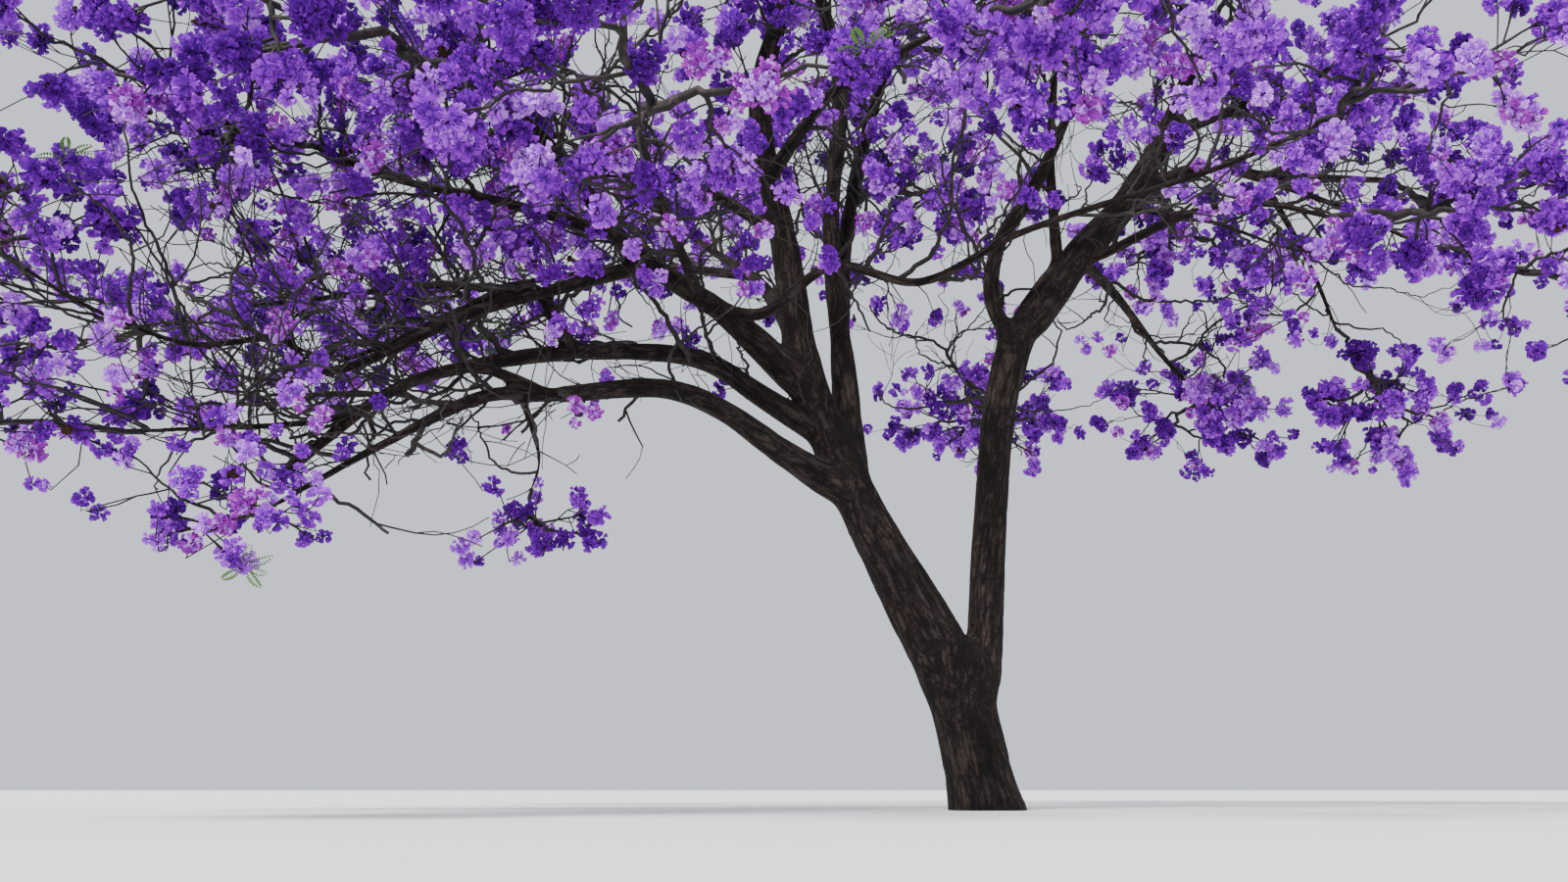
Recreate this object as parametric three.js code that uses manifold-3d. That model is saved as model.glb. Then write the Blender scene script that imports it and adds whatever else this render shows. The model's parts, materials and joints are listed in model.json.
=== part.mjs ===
import * as THREE from 'three';
import { mergeVertices } from 'three/addons/utils/BufferGeometryUtils.js';
import Module from 'manifold-3d';

const wasm = await Module();
wasm.setup();

// A jacaranda tree in full blossom. Millimetres, Z up, the trunk's flat cut on the ground at Z = 0.
// The near side of the tree faces -Y, and its long low boughs reach out towards -X.

// Driving dimensions
const GAP = 0.35;                 // clear space between neighbouring pieces
const MERGE_DISTANCE = 1e-3;      // corners closer together than this are made one
const FOOT_DEPTH = 280;           // how far the trunk's axis runs on below the cut before it is trimmed
const FLARE_WIDTH = 0.26;         // how much wider the root flare makes the trunk at the ground
const FLARE_HEIGHT = 420;         // height over which the flare dies away
const BUTTRESSES = 5;             // ribs that stand out round the flare
const BUTTRESS_DEPTH = 0.07;      // how far they stand out, as a share of the radius
const GROUND_BLOCK = 4000;        // width of the block that trims the trunk's foot
const RING_SPACING = 1100;        // distance between the rings of a limb
const COLLAR_SWELL = 0.22;        // how much thicker a limb is where it leaves its parent
const COLLAR_LENGTH = 420;        // length over which that collar dies away

const FIRST_SEED = 121;           // seed of the first mass, the others counting on from it
const SPACE_PER_SPRAY = 3.6e9;    // cubic millimetres of crown that one blossom spray stands for
const FEWEST_SPRAYS = 5;          // sprays that even the smallest mass has
const SPRAY_RADIUS = [460, 620];  // smallest and largest blossom spray
const SPRAY_RING = 0.84;          // radius of a spray's two rings, as a share of the spray's own
const SPRAY_WAIST = 0.42;         // how far those rings lie above and below its middle, the same way
const SPRAY_NECK = 0.56;          // how far below its middle the twig enters it
const SPRAY_CROWN = 0.8;          // how far above its middle its top stands
const SPRAY_INSET = 0.6;          // how far inside its mass's outline a spray's middle lies, the same way
const PLACE_TRIES = 14;           // places compared before a spray takes the freest one
const TWIG_CLEARANCE = 25;        // least distance from a twig or spray to a limb
const TWIG_STEP = 120;            // spacing of the places along a twig that are tested for it
const BORDER_CLEARANCE = 12;      // least distance from a spray to the border of its mass's space
const STEM_LENGTH = 260;          // straight stem that carries a mass on from its bough's tip
const STEM_SHARE = 0.8;           // width of that stem as a share of the bough's tip
const TWIG_SIDES = 3;             // sides of a twig
const TWIG_WIDTH = 30;            // width of a twig that carries a single spray
const TWIG_POWER = 0.42;          // how a twig's width grows with the number of sprays it carries
const TWIG_END_SHARE = 0.7;       // width of a twig where it enters its spray, as a share of its own
const FOOT_PLACE = 0.85;          // how far along to another twig's fork a twig's foot is sunk in it
const FOOT_SHARE = 0.45;          // width of that foot as a share of the other twig's
const FORK_SHARES = [0.45, 0.3, 0.62, 0.15]; // how far towards its sprays' middle a twig may fork

const BARK = { color: 0x3a302b, roughness: 0.92 };
const BLOSSOM = { color: 0x8a63c9, roughness: 0.8 };

// The limbs, each after the one it grows from. A limb leaves its parent at a share of the parent's
// length. Its girth is a list of diameters, evenly spaced from its foot to its tip. Its reaches are
// stretches of [bearing, climb, length]: degrees anticlockwise from +X, degrees above level, millimetres.
// A limb that carries blossom has the middle of that mass and its half-widths along X, Y and Z.
const LIMBS = [
  {
    name: 'trunk', start: [44, 0, -FOOT_DEPTH], sides: 15, girth: [1010, 990, 970, 1050, 1180],
    reaches: [[180, 81, 1400], [180, 77, 1050]],
  },
  {
    name: 'left_stem', parent: 'trunk', along: 0.8, sides: 10, girth: [980, 830, 650, 480, 400, 300],
    reaches: [[200, 65, 600], [200, 60, 2600], [208, 64, 2300], [238, 72, 1950], [240, 70, 2400],
      [302, 60, 1700]],
    mass: 'left_top_blossom', middle: [-3400, -4200, 13100], half: [2900, 2600, 1600],
  },
  {
    name: 'right_stem', parent: 'trunk', along: 0.66, sides: 10, girth: [700, 600, 540, 560, 640],
    reaches: [[20, 70, 870], [22, 83, 2000], [17, 82, 2350], [0, 74, 1400]],
  },
  {
    name: 'upright_stem', parent: 'left_stem', along: 0.307, sides: 8,
    girth: [540, 440, 340, 300, 340, 240],
    reaches: [[115, 82, 2300], [129, 84, 2350], [51, 85, 3300], [238, 60, 1500]],
    mass: 'top_blossom', middle: [-3200, 300, 15000], half: [2800, 2500, 1600],
  },
  {
    name: 'rear_stem', parent: 'upright_stem', along: 0.29, sides: 8, girth: [330, 290, 270, 220],
    reaches: [[78, 73, 1750], [65, 70, 2000], [52, 69, 3100]],
    mass: 'rear_top_blossom', middle: [100, 2700, 14900], half: [2800, 2600, 1700],
  },
  {
    name: 'upper_left_bough', parent: 'left_stem', along: 0.447, sides: 7,
    girth: [540, 400, 320, 200, 130],
    reaches: [[214, 32, 1850], [225, 15, 1900], [242, 20, 2050], [242, 8, 1500]],
    mass: 'upper_left_blossom', middle: [-7800, -7600, 8000], half: [2700, 2300, 1300],
  },
  {
    name: 'long_left_bough', parent: 'upper_left_bough', along: 0.47, sides: 6,
    girth: [250, 210, 185, 150, 120, 90, 75],
    reaches: [[221, -29, 1200], [218, -28, 1650], [223, -33, 2450], [211, 45, 450], [216, -15, 1000],
      [217, 10, 1000], [220, 22, 700]],
    mass: 'long_left_blossom', middle: [-11700, -7700, 5900], half: [2000, 1700, 1200],
  },
  {
    name: 'crossing_bough', parent: 'upper_left_bough', along: 0.28, sides: 6,
    girth: [230, 180, 150, 140, 120, 100],
    reaches: [[343, -12, 700], [339, 28, 1250], [347, -16, 1350], [340, 20, 1550], [334, 8, 2800],
      [318, 5, 900]],
    mass: 'front_right_blossom', middle: [4300, -6700, 8500], half: [2700, 2300, 1300],
  },
  {
    name: 'cut_bough', parent: 'left_stem', along: 0.384, sides: 7,
    girth: [430, 360, 300, 260, 210, 180, 150],
    reaches: [[206, 25, 1400], [207, 23, 950], [217, -8, 1850], [218, -18, 1700], [218, -27, 1300],
      [227, -46, 1950]],
  },
  {
    name: 'low_left_bough', parent: 'left_stem', along: 0.297, sides: 7,
    girth: [560, 440, 350, 300, 240, 200, 130, 80],
    reaches: [[211, 22, 1400], [218, 22, 1250], [224, 5, 1050], [223, -15, 2000], [228, -14, 950],
      [229, -34, 1600], [225, -38, 1500]],
    mass: 'low_left_blossom', middle: [-8900, -7200, 3000], half: [1400, 1200, 850],
  },
  {
    name: 'low_fork_bough', parent: 'low_left_bough', along: 0.58, sides: 5,
    girth: [180, 160, 130, 100, 75],
    reaches: [[225, 5, 1100], [223, -22, 800], [221, -36, 1150], [213, -14, 2000]],
    mass: 'low_fork_blossom', middle: [-10900, -7500, 3800], half: [1600, 1400, 900],
  },
  {
    name: 'hanging_bough', parent: 'low_left_bough', along: 0.63, sides: 5, girth: [110, 90, 60],
    reaches: [[329, -68, 1000], [243, -74, 420]],
    mass: 'hanging_blossom', middle: [-6100, -4700, 3400], half: [1100, 1000, 700],
  },
  {
    name: 'right_bough', parent: 'right_stem', along: 0.97, sides: 10, girth: [640, 620, 560, 420, 280],
    reaches: [[14, 53, 2100], [22, 48, 1650], [16, 58, 1850], [350, 66, 1600]],
    mass: 'right_top_blossom', middle: [4900, 500, 14400], half: [2700, 2500, 1500],
  },
  {
    name: 'inner_bough', parent: 'right_stem', along: 0.94, sides: 6, girth: [310, 280, 260, 200, 120],
    reaches: [[209, 67, 1050], [288, 62, 900], [309, 39, 800], [290, 34, 2400]],
    mass: 'inner_blossom', middle: [1600, -3900, 11700], half: [2600, 2300, 1400],
  },
  {
    name: 'twin_bough', parent: 'right_bough', along: 0.2, sides: 6, girth: [240, 200, 170, 130],
    reaches: [[255, 59, 1400], [258, 52, 800], [274, 65, 1700]],
    mass: 'mid_top_blossom', middle: [1300, -1000, 13900], half: [2500, 2300, 1300],
  },
  {
    name: 'drooping_bough', parent: 'right_bough', along: 0.243, sides: 6,
    girth: [230, 190, 180, 150, 100],
    reaches: [[330, 14, 800], [319, 9, 1400], [313, -12, 1250], [303, -32, 1300]],
    mass: 'drooping_blossom', middle: [6200, -3900, 7800], half: [2500, 2100, 1300],
  },
  {
    name: 'level_bough', parent: 'right_bough', along: 0.554, sides: 6, girth: [270, 230, 200, 140],
    reaches: [[0, 24, 1400], [355, -10, 1150], [5, 0, 2300]],
    mass: 'right_end_blossom', middle: [9800, 1700, 10900], half: [2500, 2500, 1500],
  },
  {
    name: 'upper_right_bough', parent: 'right_bough', along: 0.775, sides: 6, girth: [280, 230, 170],
    reaches: [[13, 27, 1950], [12, 35, 900]],
    mass: 'upper_right_blossom', middle: [7900, 2000, 13700], half: [2500, 2600, 1500],
  },
  {
    name: 'back_left_bough', parent: 'left_stem', along: 0.52, sides: 6, girth: [330, 260, 200, 130],
    reaches: [[111, 44, 2600], [117, 35, 2450], [125, 38, 1700]],
    mass: 'back_left_blossom', middle: [-5600, 4600, 12100], half: [2900, 2700, 1600],
  },
  {
    name: 'far_back_left_bough', parent: 'back_left_bough', along: 0.45, sides: 6,
    girth: [200, 170, 140, 100],
    reaches: [[167, 10, 2100], [172, -4, 2100], [176, -10, 1500]],
    mass: 'far_back_left_blossom', middle: [-11200, 2000, 8600], half: [2800, 2800, 1800],
  },
  {
    name: 'shoulder_bough', parent: 'left_stem', along: 0.667, sides: 6, girth: [250, 190, 150, 110],
    reaches: [[180, 33, 1450], [192, 13, 1500], [190, 22, 900]],
    mass: 'left_shoulder_blossom', middle: [-7800, -2500, 10200], half: [2900, 2700, 1600],
  },
  {
    name: 'left_high_bough', parent: 'upper_left_bough', along: 0.56, sides: 6,
    girth: [200, 170, 140, 100],
    reaches: [[192, 12, 1600], [197, 6, 1700], [188, 22, 1000]],
    mass: 'left_high_blossom', middle: [-11100, -4900, 8900], half: [2600, 2500, 1500],
  },
  {
    name: 'far_left_bough', parent: 'long_left_bough', along: 0.225, sides: 5, girth: [160, 140, 110, 90],
    reaches: [[165, 10, 1650], [182, -8, 1450], [178, -6, 1150]],
    mass: 'far_left_blossom', middle: [-12000, -3300, 6300], half: [2500, 2400, 1400],
  },
  {
    name: 'back_top_bough', parent: 'rear_stem', along: 0.434, sides: 6, girth: [240, 190, 120],
    reaches: [[74, 32, 2450], [62, 24, 2000]],
    mass: 'back_top_blossom', middle: [700, 5900, 13200], half: [2600, 2200, 1500],
  },
  {
    name: 'back_bough', parent: 'right_stem', along: 0.767, sides: 6, girth: [290, 230, 180, 120],
    reaches: [[80, 25, 2500], [84, 10, 2400], [82, 6, 1500]],
    mass: 'back_blossom', middle: [1700, 8000, 8500], half: [2900, 2300, 1400],
  },
  {
    name: 'back_right_bough', parent: 'right_bough', along: 0.29, sides: 6, girth: [260, 210, 160, 110],
    reaches: [[57, 0, 2050], [50, -18, 2100], [48, -16, 1200]],
    mass: 'back_right_blossom', middle: [6100, 6000, 7900], half: [2700, 2400, 1400],
  },
  {
    name: 'back_right_high_bough', parent: 'right_bough', along: 0.628, sides: 6, girth: [230, 180, 120],
    reaches: [[62, 12, 1800], [60, 4, 1500]],
    mass: 'back_right_high_blossom', middle: [5800, 5500, 11900], half: [2800, 2500, 1500],
  },
  {
    name: 'right_back_bough', parent: 'level_bough', along: 0.515, sides: 5, girth: [160, 130, 90],
    reaches: [[44, -34, 2150], [48, -42, 1500]],
    mass: 'right_back_blossom', middle: [9200, 4200, 7500], half: [2500, 2300, 1500],
  },
  {
    name: 'right_low_bough', parent: 'level_bough', along: 0.4, sides: 5, girth: [160, 130, 90],
    reaches: [[322, -36, 1900], [330, -40, 2000]],
    mass: 'right_low_blossom', middle: [9200, -1600, 7600], half: [2500, 2300, 1500],
  },
  {
    name: 'front_bough', parent: 'left_stem', along: 0.75, sides: 6, girth: [250, 190, 150, 100],
    reaches: [[292, 3, 2300], [295, -14, 2450], [293, -18, 1200]],
    mass: 'front_blossom', middle: [500, -8900, 7800], half: [2700, 2300, 1300],
  },
  {
    name: 'front_left_bough', parent: 'upper_left_bough', along: 0.33, sides: 6,
    girth: [200, 160, 130, 90],
    reaches: [[262, 6, 2200], [268, -4, 2000], [272, -12, 900]],
    mass: 'front_left_blossom', middle: [-4400, -8900, 6900], half: [2800, 2100, 1300],
  },
];

// Seeded numbers between 0 and 1, the same on every run
function seededNumbers(seed) {
  const MODULUS = 2147483647;
  const FACTOR = 16807;
  let state = seed;
  return () => {
    state = (state * FACTOR) % MODULUS;
    return state / MODULUS;
  };
}

// A solid from a closed geometry, its doubled corners merged
function solidFrom(geometry) {
  geometry.deleteAttribute('normal');
  geometry.deleteAttribute('uv');
  const merged = mergeVertices(geometry, MERGE_DISTANCE);
  const vertProperties = new Float32Array(merged.attributes.position.array);
  const triVerts = new Uint32Array(merged.index.array);
  return new wasm.Manifold(new wasm.Mesh({ numProp: 3, vertProperties, triVerts }));
}

// The largest closed body of a solid: loose scraps are dropped and sealed hollows are filled
function largestBody(solid) {
  const bodies = solid.decompose();
  bodies.sort((a, b) => b.volume() - a.volume());
  return bodies[0];
}

function meshFrom(solid, name, { color, roughness }) {
  const { vertProperties, triVerts } = solid.getMesh();
  const geometry = new THREE.BufferGeometry();
  geometry.setAttribute('position', new THREE.BufferAttribute(vertProperties, 3));
  geometry.setIndex(new THREE.BufferAttribute(triVerts, 1));
  geometry.computeVertexNormals();
  const material = new THREE.MeshStandardMaterial({ color, roughness, metalness: 0, flatShading: true });
  const mesh = new THREE.Mesh(geometry, material);
  mesh.name = name;
  return mesh;
}

// Value at a share of the way along a list of evenly spaced values
function valueAlong(values, share) {
  const place = Math.min(Math.max(share, 0), 1) * (values.length - 1);
  const step = Math.min(Math.floor(place), values.length - 2);
  return THREE.MathUtils.lerp(values[step], values[step + 1], place - step);
}

// The way from one end of a reach to the other
function reachVector([bearing, climb, length]) {
  const turn = THREE.MathUtils.degToRad(bearing);
  const rise = THREE.MathUtils.degToRad(climb);
  const level = length * Math.cos(rise);
  return new THREE.Vector3(level * Math.cos(turn), level * Math.sin(turn), length * Math.sin(rise));
}

// A limb's axis: a smooth curve through the ends of its reaches, read off at evenly spaced rings
function limbAxis(limb, start) {
  const bends = [start];
  for (const reach of limb.reaches) bends.push(bends.at(-1).clone().add(reachVector(reach)));
  const curve = new THREE.CatmullRomCurve3(bends, false, 'centripetal');
  const length = curve.getLength();
  const rings = Math.max(3, Math.ceil(length / RING_SPACING));
  const stations = [];
  for (let i = 0; i <= rings; i += 1) {
    const share = i / rings;
    const collar = limb.parent ? COLLAR_SWELL * Math.exp((-share * length) / COLLAR_LENGTH) : 0;
    stations.push({
      point: curve.getPointAt(share),
      tangent: curve.getTangentAt(share),
      radius: (valueAlong(limb.girth, share) / 2) * (1 + collar),
    });
  }
  return { curve, stations };
}

// Each station gets two directions across the stem, carried on from the last so that nothing twists.
// The first is taken from the axis that the stem starts out farthest from.
function addCrossDirections(stations) {
  const { x, z } = stations[0].tangent;
  let side = Math.abs(z) > Math.abs(x) ? new THREE.Vector3(1, 0, 0) : new THREE.Vector3(0, 0, 1);
  for (const station of stations) {
    side = side.clone().addScaledVector(station.tangent, -side.dot(station.tangent)).normalize();
    station.side = side;
    station.up = new THREE.Vector3().crossVectors(side, station.tangent);
  }
}

// How much the root flare and its buttresses widen the trunk at a height and a direction round it
function rootFlare(height, angle) {
  const share = Math.exp(-Math.max(height, 0) / FLARE_HEIGHT);
  return 1 + share * (FLARE_WIDTH + BUTTRESS_DEPTH * Math.cos(BUTTRESSES * angle));
}

// A closed cylinder bent along its stations. Growth makes it thicker and longer all round. A station
// may turn its ring by a twist, and the last may raise the middle of its end into a peak.
function bentCylinder(stations, sides, { growth = 0, flared = false } = {}) {
  const rings = stations.length - 1;
  const geometry = new THREE.CylinderGeometry(1, 1, 1, sides, rings, false);
  const corners = geometry.attributes.position;
  const corner = new THREE.Vector3();
  for (let i = 0; i < corners.count; i += 1) {
    corner.fromBufferAttribute(corners, i);
    const ring = Math.round((corner.y + 0.5) * rings);
    const { point, tangent, radius, side, up, twist = 0, peak = 0 } = stations[ring];
    const angle = Math.atan2(corner.z, corner.x);
    const inMiddle = Math.hypot(corner.x, corner.z) < 0.5;
    const share = inMiddle ? 0 : 1;
    const width = share * ((flared ? radius * rootFlare(point.z, angle) : radius) + growth);
    const endGrowth = (ring === rings ? growth : 0) - (ring === 0 ? growth : 0) + (inMiddle ? peak : 0);
    const place = point.clone().addScaledVector(tangent, endGrowth);
    place.addScaledVector(side, Math.cos(angle + twist) * width);
    place.addScaledVector(up, Math.sin(angle + twist) * width);
    corners.setXYZ(i, place.x, place.y, place.z);
  }
  return solidFrom(geometry);
}

// All that is below the ground round the trunk, as a block with its top at Z = 0
function belowGround() {
  const block = new THREE.BoxGeometry(GROUND_BLOCK, GROUND_BLOCK, GROUND_BLOCK);
  block.translate(0, 0, -GROUND_BLOCK / 2);
  return solidFrom(block);
}

// Grow every limb from its parent and cut it clear of the limbs that grew before it
function growLimbs() {
  const grown = new Map();
  for (const plan of LIMBS) {
    const parent = grown.get(plan.parent);
    const start = parent ? parent.curve.getPointAt(plan.along) : new THREE.Vector3(...plan.start);
    const limb = { ...plan, ...limbAxis(plan, start), flared: !parent };
    addCrossDirections(limb.stations);
    let solid = bentCylinder(limb.stations, limb.sides, { flared: limb.flared });
    if (parent) {
      for (const earlier of grown.values()) solid = solid.subtract(earlier.envelope);
    } else {
      solid = solid.subtract(belowGround());
    }
    limb.solid = largestBody(solid);
    limb.envelope = bentCylinder(limb.stations, limb.sides, { growth: GAP, flared: limb.flared });
    grown.set(limb.name, limb);
  }
  return [...grown.values()];
}

// How far a point is from the straight stretch between two others
function distanceToStretch(point, from, to) {
  const along = new THREE.Vector3().subVectors(to, from);
  const share = new THREE.Vector3().subVectors(point, from).dot(along) / along.lengthSq();
  return point.distanceTo(from.clone().addScaledVector(along, Math.min(Math.max(share, 0), 1)));
}

// Whether a round of some radius at a point stays clear of every limb
function clearOfLimbs(point, radius, limbs) {
  return limbs.every(({ stations }) => {
    for (let i = 1; i < stations.length; i += 1) {
      const [low, high] = [stations[i - 1], stations[i]];
      const least = Math.max(low.radius, high.radius) + radius + TWIG_CLEARANCE;
      if (distanceToStretch(point, low.point, high.point) < least) return false;
    }
    return true;
  });
}

// Whether a straight twig stays clear of them, leaving out its foot
function twigClearOfLimbs(from, to, radius, limbs) {
  const steps = Math.ceil(from.distanceTo(to) / TWIG_STEP);
  for (let i = 1; i <= steps; i += 1) {
    if (!clearOfLimbs(from.clone().lerp(to, i / steps), radius, limbs)) return false;
  }
  return true;
}

// The space of one mass: an ellipsoid, bounded by a plane towards each of the other masses. The
// plane divides the way between the two middles in the ratio of the masses' mean half-widths.
function massSpace(limb, bearers) {
  const middle = new THREE.Vector3(...limb.middle);
  const meanHalf = (other) => (other.half[0] + other.half[1] + other.half[2]) / 3;
  const borders = bearers.filter((other) => other !== limb).map((other) => {
    const away = new THREE.Vector3(...other.middle).sub(middle);
    const share = meanHalf(limb) / (meanHalf(limb) + meanHalf(other));
    return { normal: away.clone().normalize(), reach: away.length() * share };
  });
  return { middle, half: limb.half, borders };
}

// Whether a spray of some radius at a point keeps to a mass's space
function insideSpace(point, radius, space) {
  const offset = point.clone().sub(space.middle);
  const inset = radius * SPRAY_INSET;
  const [x, y, z] = space.half.map((half, axis) => offset.getComponent(axis) / (half - inset));
  if (x * x + y * y + z * z > 1) return false;
  const margin = radius + BORDER_CLEARANCE;
  return space.borders.every(({ normal, reach }) => offset.dot(normal) + margin < reach);
}

// A seeded point in a ball of radius 1
function pointInBall(random) {
  const point = new THREE.Vector3();
  do {
    point.set(random(), random(), random()).multiplyScalar(2).subScalar(1);
  } while (point.lengthSq() > 1);
  return point;
}

// Places for a mass's sprays: each takes the freest of several places that are inside and clear
function sprayPlaces(space, limbs, random) {
  const [a, b, c] = space.half;
  const wanted = Math.max(FEWEST_SPRAYS, Math.round((4 / 3) * Math.PI * a * b * c / SPACE_PER_SPRAY));
  const sprays = [];
  for (let i = 0; i < wanted; i += 1) {
    const radius = THREE.MathUtils.lerp(...SPRAY_RADIUS, random());
    let best = null;
    for (let t = 0; t < PLACE_TRIES; t += 1) {
      const offset = pointInBall(random).multiply(new THREE.Vector3(a, b, c));
      const point = space.middle.clone().add(offset);
      if (!insideSpace(point, radius, space) || !clearOfLimbs(point, radius, limbs)) continue;
      const nearest = Math.min(Infinity, ...sprays.map((other) => other.point.distanceTo(point)));
      if (!best || nearest > best.nearest) best = { point, radius, nearest };
    }
    if (best) sprays.push(best);
  }
  return sprays;
}

function meanPoint(sprays) {
  const sum = new THREE.Vector3();
  for (const spray of sprays) sum.add(spray.point);
  return sum.divideScalar(sprays.length);
}

// Part a twig's sprays in two, across the direction from the middle to the farthest of them
function divideSprays(sprays) {
  const middle = meanPoint(sprays);
  const reach = (spray) => spray.point.distanceTo(middle);
  const farthest = sprays.reduce((far, spray) => (reach(spray) > reach(far) ? spray : far));
  const across = farthest.point.clone().sub(middle);
  const position = (spray) => spray.point.clone().sub(middle).dot(across);
  const ordered = [...sprays].sort((a, b) => position(b) - position(a));
  const near = ordered.filter((spray) => position(spray) > 0);
  return [near, ordered.slice(near.length)];
}

// A twig's radius where it carries some number of sprays
function twigRadius(sprayCount) {
  return (TWIG_WIDTH / 2) * sprayCount ** TWIG_POWER;
}

// The rings of a spray at its twig's end: a neck, and two turned triangles that make an eight-faced body
function sprayStations(node, { point, radius }) {
  const ahead = point.clone().sub(node).normalize();
  const at = (share) => point.clone().addScaledVector(ahead, share * radius);
  const ringRadius = radius * SPRAY_RING;
  return [
    { point: at(-SPRAY_NECK), radius: twigRadius(1) * TWIG_END_SHARE },
    { point: at(-SPRAY_WAIST), radius: ringRadius, tangent: ahead },
    { point: at(SPRAY_WAIST), radius: ringRadius, tangent: ahead, twist: Math.PI / TWIG_SIDES,
      peak: radius * (SPRAY_CROWN - SPRAY_WAIST) },
  ];
}

// Grow a twig through the forks that lead to its sprays. At each fork it carries on towards the
// larger half of them, and the other half gets a twig of its own. Where the way on would touch a
// limb the twig ends, and the sprays beyond are skipped.
function growTwig(stations, sprays, limbs, twigs) {
  const offshoots = [];
  let node = stations.at(-1).point;
  let ahead = sprays;
  while (ahead.length > 1) {
    const radius = twigRadius(ahead.length);
    const middle = meanPoint(ahead);
    const forks = FORK_SHARES.map((share) => node.clone().lerp(middle, share));
    const fork = forks.find((place) => twigClearOfLimbs(node, place, radius, limbs));
    if (!fork) break;
    const [larger, smaller] = divideSprays(ahead).sort((a, b) => b.length - a.length);
    stations.push({ point: fork, radius });
    const foot = node.clone().lerp(fork, FOOT_PLACE);
    offshoots.push({ foot, radius: radius * FOOT_SHARE, sprays: smaller });
    node = fork;
    ahead = larger;
  }
  if (ahead.length === 1 && twigClearOfLimbs(node, ahead[0].point, twigRadius(1), limbs)) {
    stations.push(...sprayStations(node, ahead[0]));
  }
  if (stations.length > 1) twigs.push(stations);
  for (const offshoot of offshoots) {
    growTwig([{ point: offshoot.foot, radius: offshoot.radius }], offshoot.sprays, limbs, twigs);
  }
}

// A three-sided twig with its spray, bent through its stations
function twigSolid(stations) {
  stations.forEach((station, i) => {
    const before = stations[Math.max(i - 1, 0)].point;
    const after = stations[Math.min(i + 1, stations.length - 1)].point;
    station.tangent ??= new THREE.Vector3().subVectors(after, before).normalize();
  });
  addCrossDirections(stations);
  return bentCylinder(stations, TWIG_SIDES);
}

// One mass: a stem that carries on from the bough's tip, with the twigs that fork from it
function growMass(limb, bearers, limbs, seed) {
  const tip = limb.stations.at(-1);
  const radius = tip.radius * STEM_SHARE;
  const foot = tip.point.clone().addScaledVector(tip.tangent, GAP);
  const end = foot.clone().addScaledVector(tip.tangent, STEM_LENGTH);
  const stem = [{ point: foot, radius, tangent: tip.tangent }, { point: end, radius }];
  const sprays = sprayPlaces(massSpace(limb, bearers), limbs, seededNumbers(seed));
  const twigs = [];
  growTwig(stem, sprays, limbs, twigs);
  const [first, ...others] = twigs.map(twigSolid);
  return largestBody(others.reduce((solid, twig) => solid.add(twig), first));
}

const tree = new THREE.Group();
const limbs = growLimbs();
const bearers = limbs.filter((limb) => limb.mass);
for (const limb of limbs) tree.add(meshFrom(limb.solid, limb.name, BARK));
bearers.forEach((limb, i) => {
  tree.add(meshFrom(growMass(limb, bearers, limbs, FIRST_SEED + i), limb.mass, BLOSSOM));
});

export default tree;
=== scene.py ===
import json
import math

import bpy
import numpy as np
from mathutils.kdtree import KDTree
from numpy.linalg import norm
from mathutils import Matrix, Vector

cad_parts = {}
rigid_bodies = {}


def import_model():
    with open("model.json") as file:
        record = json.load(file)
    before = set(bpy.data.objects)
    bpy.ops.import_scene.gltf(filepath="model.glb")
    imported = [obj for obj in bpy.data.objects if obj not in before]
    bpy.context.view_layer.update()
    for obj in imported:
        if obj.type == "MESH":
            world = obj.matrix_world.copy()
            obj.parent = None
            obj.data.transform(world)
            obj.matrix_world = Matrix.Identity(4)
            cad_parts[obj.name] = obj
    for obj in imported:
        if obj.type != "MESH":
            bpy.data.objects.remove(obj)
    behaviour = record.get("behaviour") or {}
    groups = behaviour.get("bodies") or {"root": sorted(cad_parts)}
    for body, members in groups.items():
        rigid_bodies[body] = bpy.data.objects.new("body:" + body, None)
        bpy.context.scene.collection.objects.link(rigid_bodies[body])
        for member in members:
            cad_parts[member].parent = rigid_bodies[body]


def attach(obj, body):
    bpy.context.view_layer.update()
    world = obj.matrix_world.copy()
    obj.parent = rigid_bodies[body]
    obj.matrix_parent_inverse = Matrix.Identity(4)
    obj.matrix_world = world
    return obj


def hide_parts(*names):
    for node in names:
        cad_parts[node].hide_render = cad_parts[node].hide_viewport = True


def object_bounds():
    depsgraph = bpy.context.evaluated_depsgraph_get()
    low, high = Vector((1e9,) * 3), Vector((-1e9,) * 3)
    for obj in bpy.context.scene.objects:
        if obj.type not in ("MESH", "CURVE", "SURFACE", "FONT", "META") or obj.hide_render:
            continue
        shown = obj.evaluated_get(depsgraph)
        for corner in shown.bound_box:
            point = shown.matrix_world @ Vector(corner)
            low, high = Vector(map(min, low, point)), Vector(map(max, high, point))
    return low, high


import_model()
solids_low, solids_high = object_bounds()
PAST_SOLIDS = 100           # how far growth may pass the solids, in millimetres
REACH_LOW = np.array(solids_low) * 1000 - PAST_SOLIDS
REACH_HIGH = np.array(solids_high) * 1000 + PAST_SOLIDS
MM = 0.001                  # in metres
UP = np.array([0, 0, 1.0])
GOLDEN_TURN = 2.39996       # spreads directions evenly, in radians

# The camera stands where the photographer stood, near the ground, and looks up into the crown.
CAMERA_PLACE = (-3.0, -19.0, 0.3)
CAMERA_PITCH = 16
CAMERA_LENS = 27.9
FLOOR_HALF = 400
SUN_STRENGTH = 6.8

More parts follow.
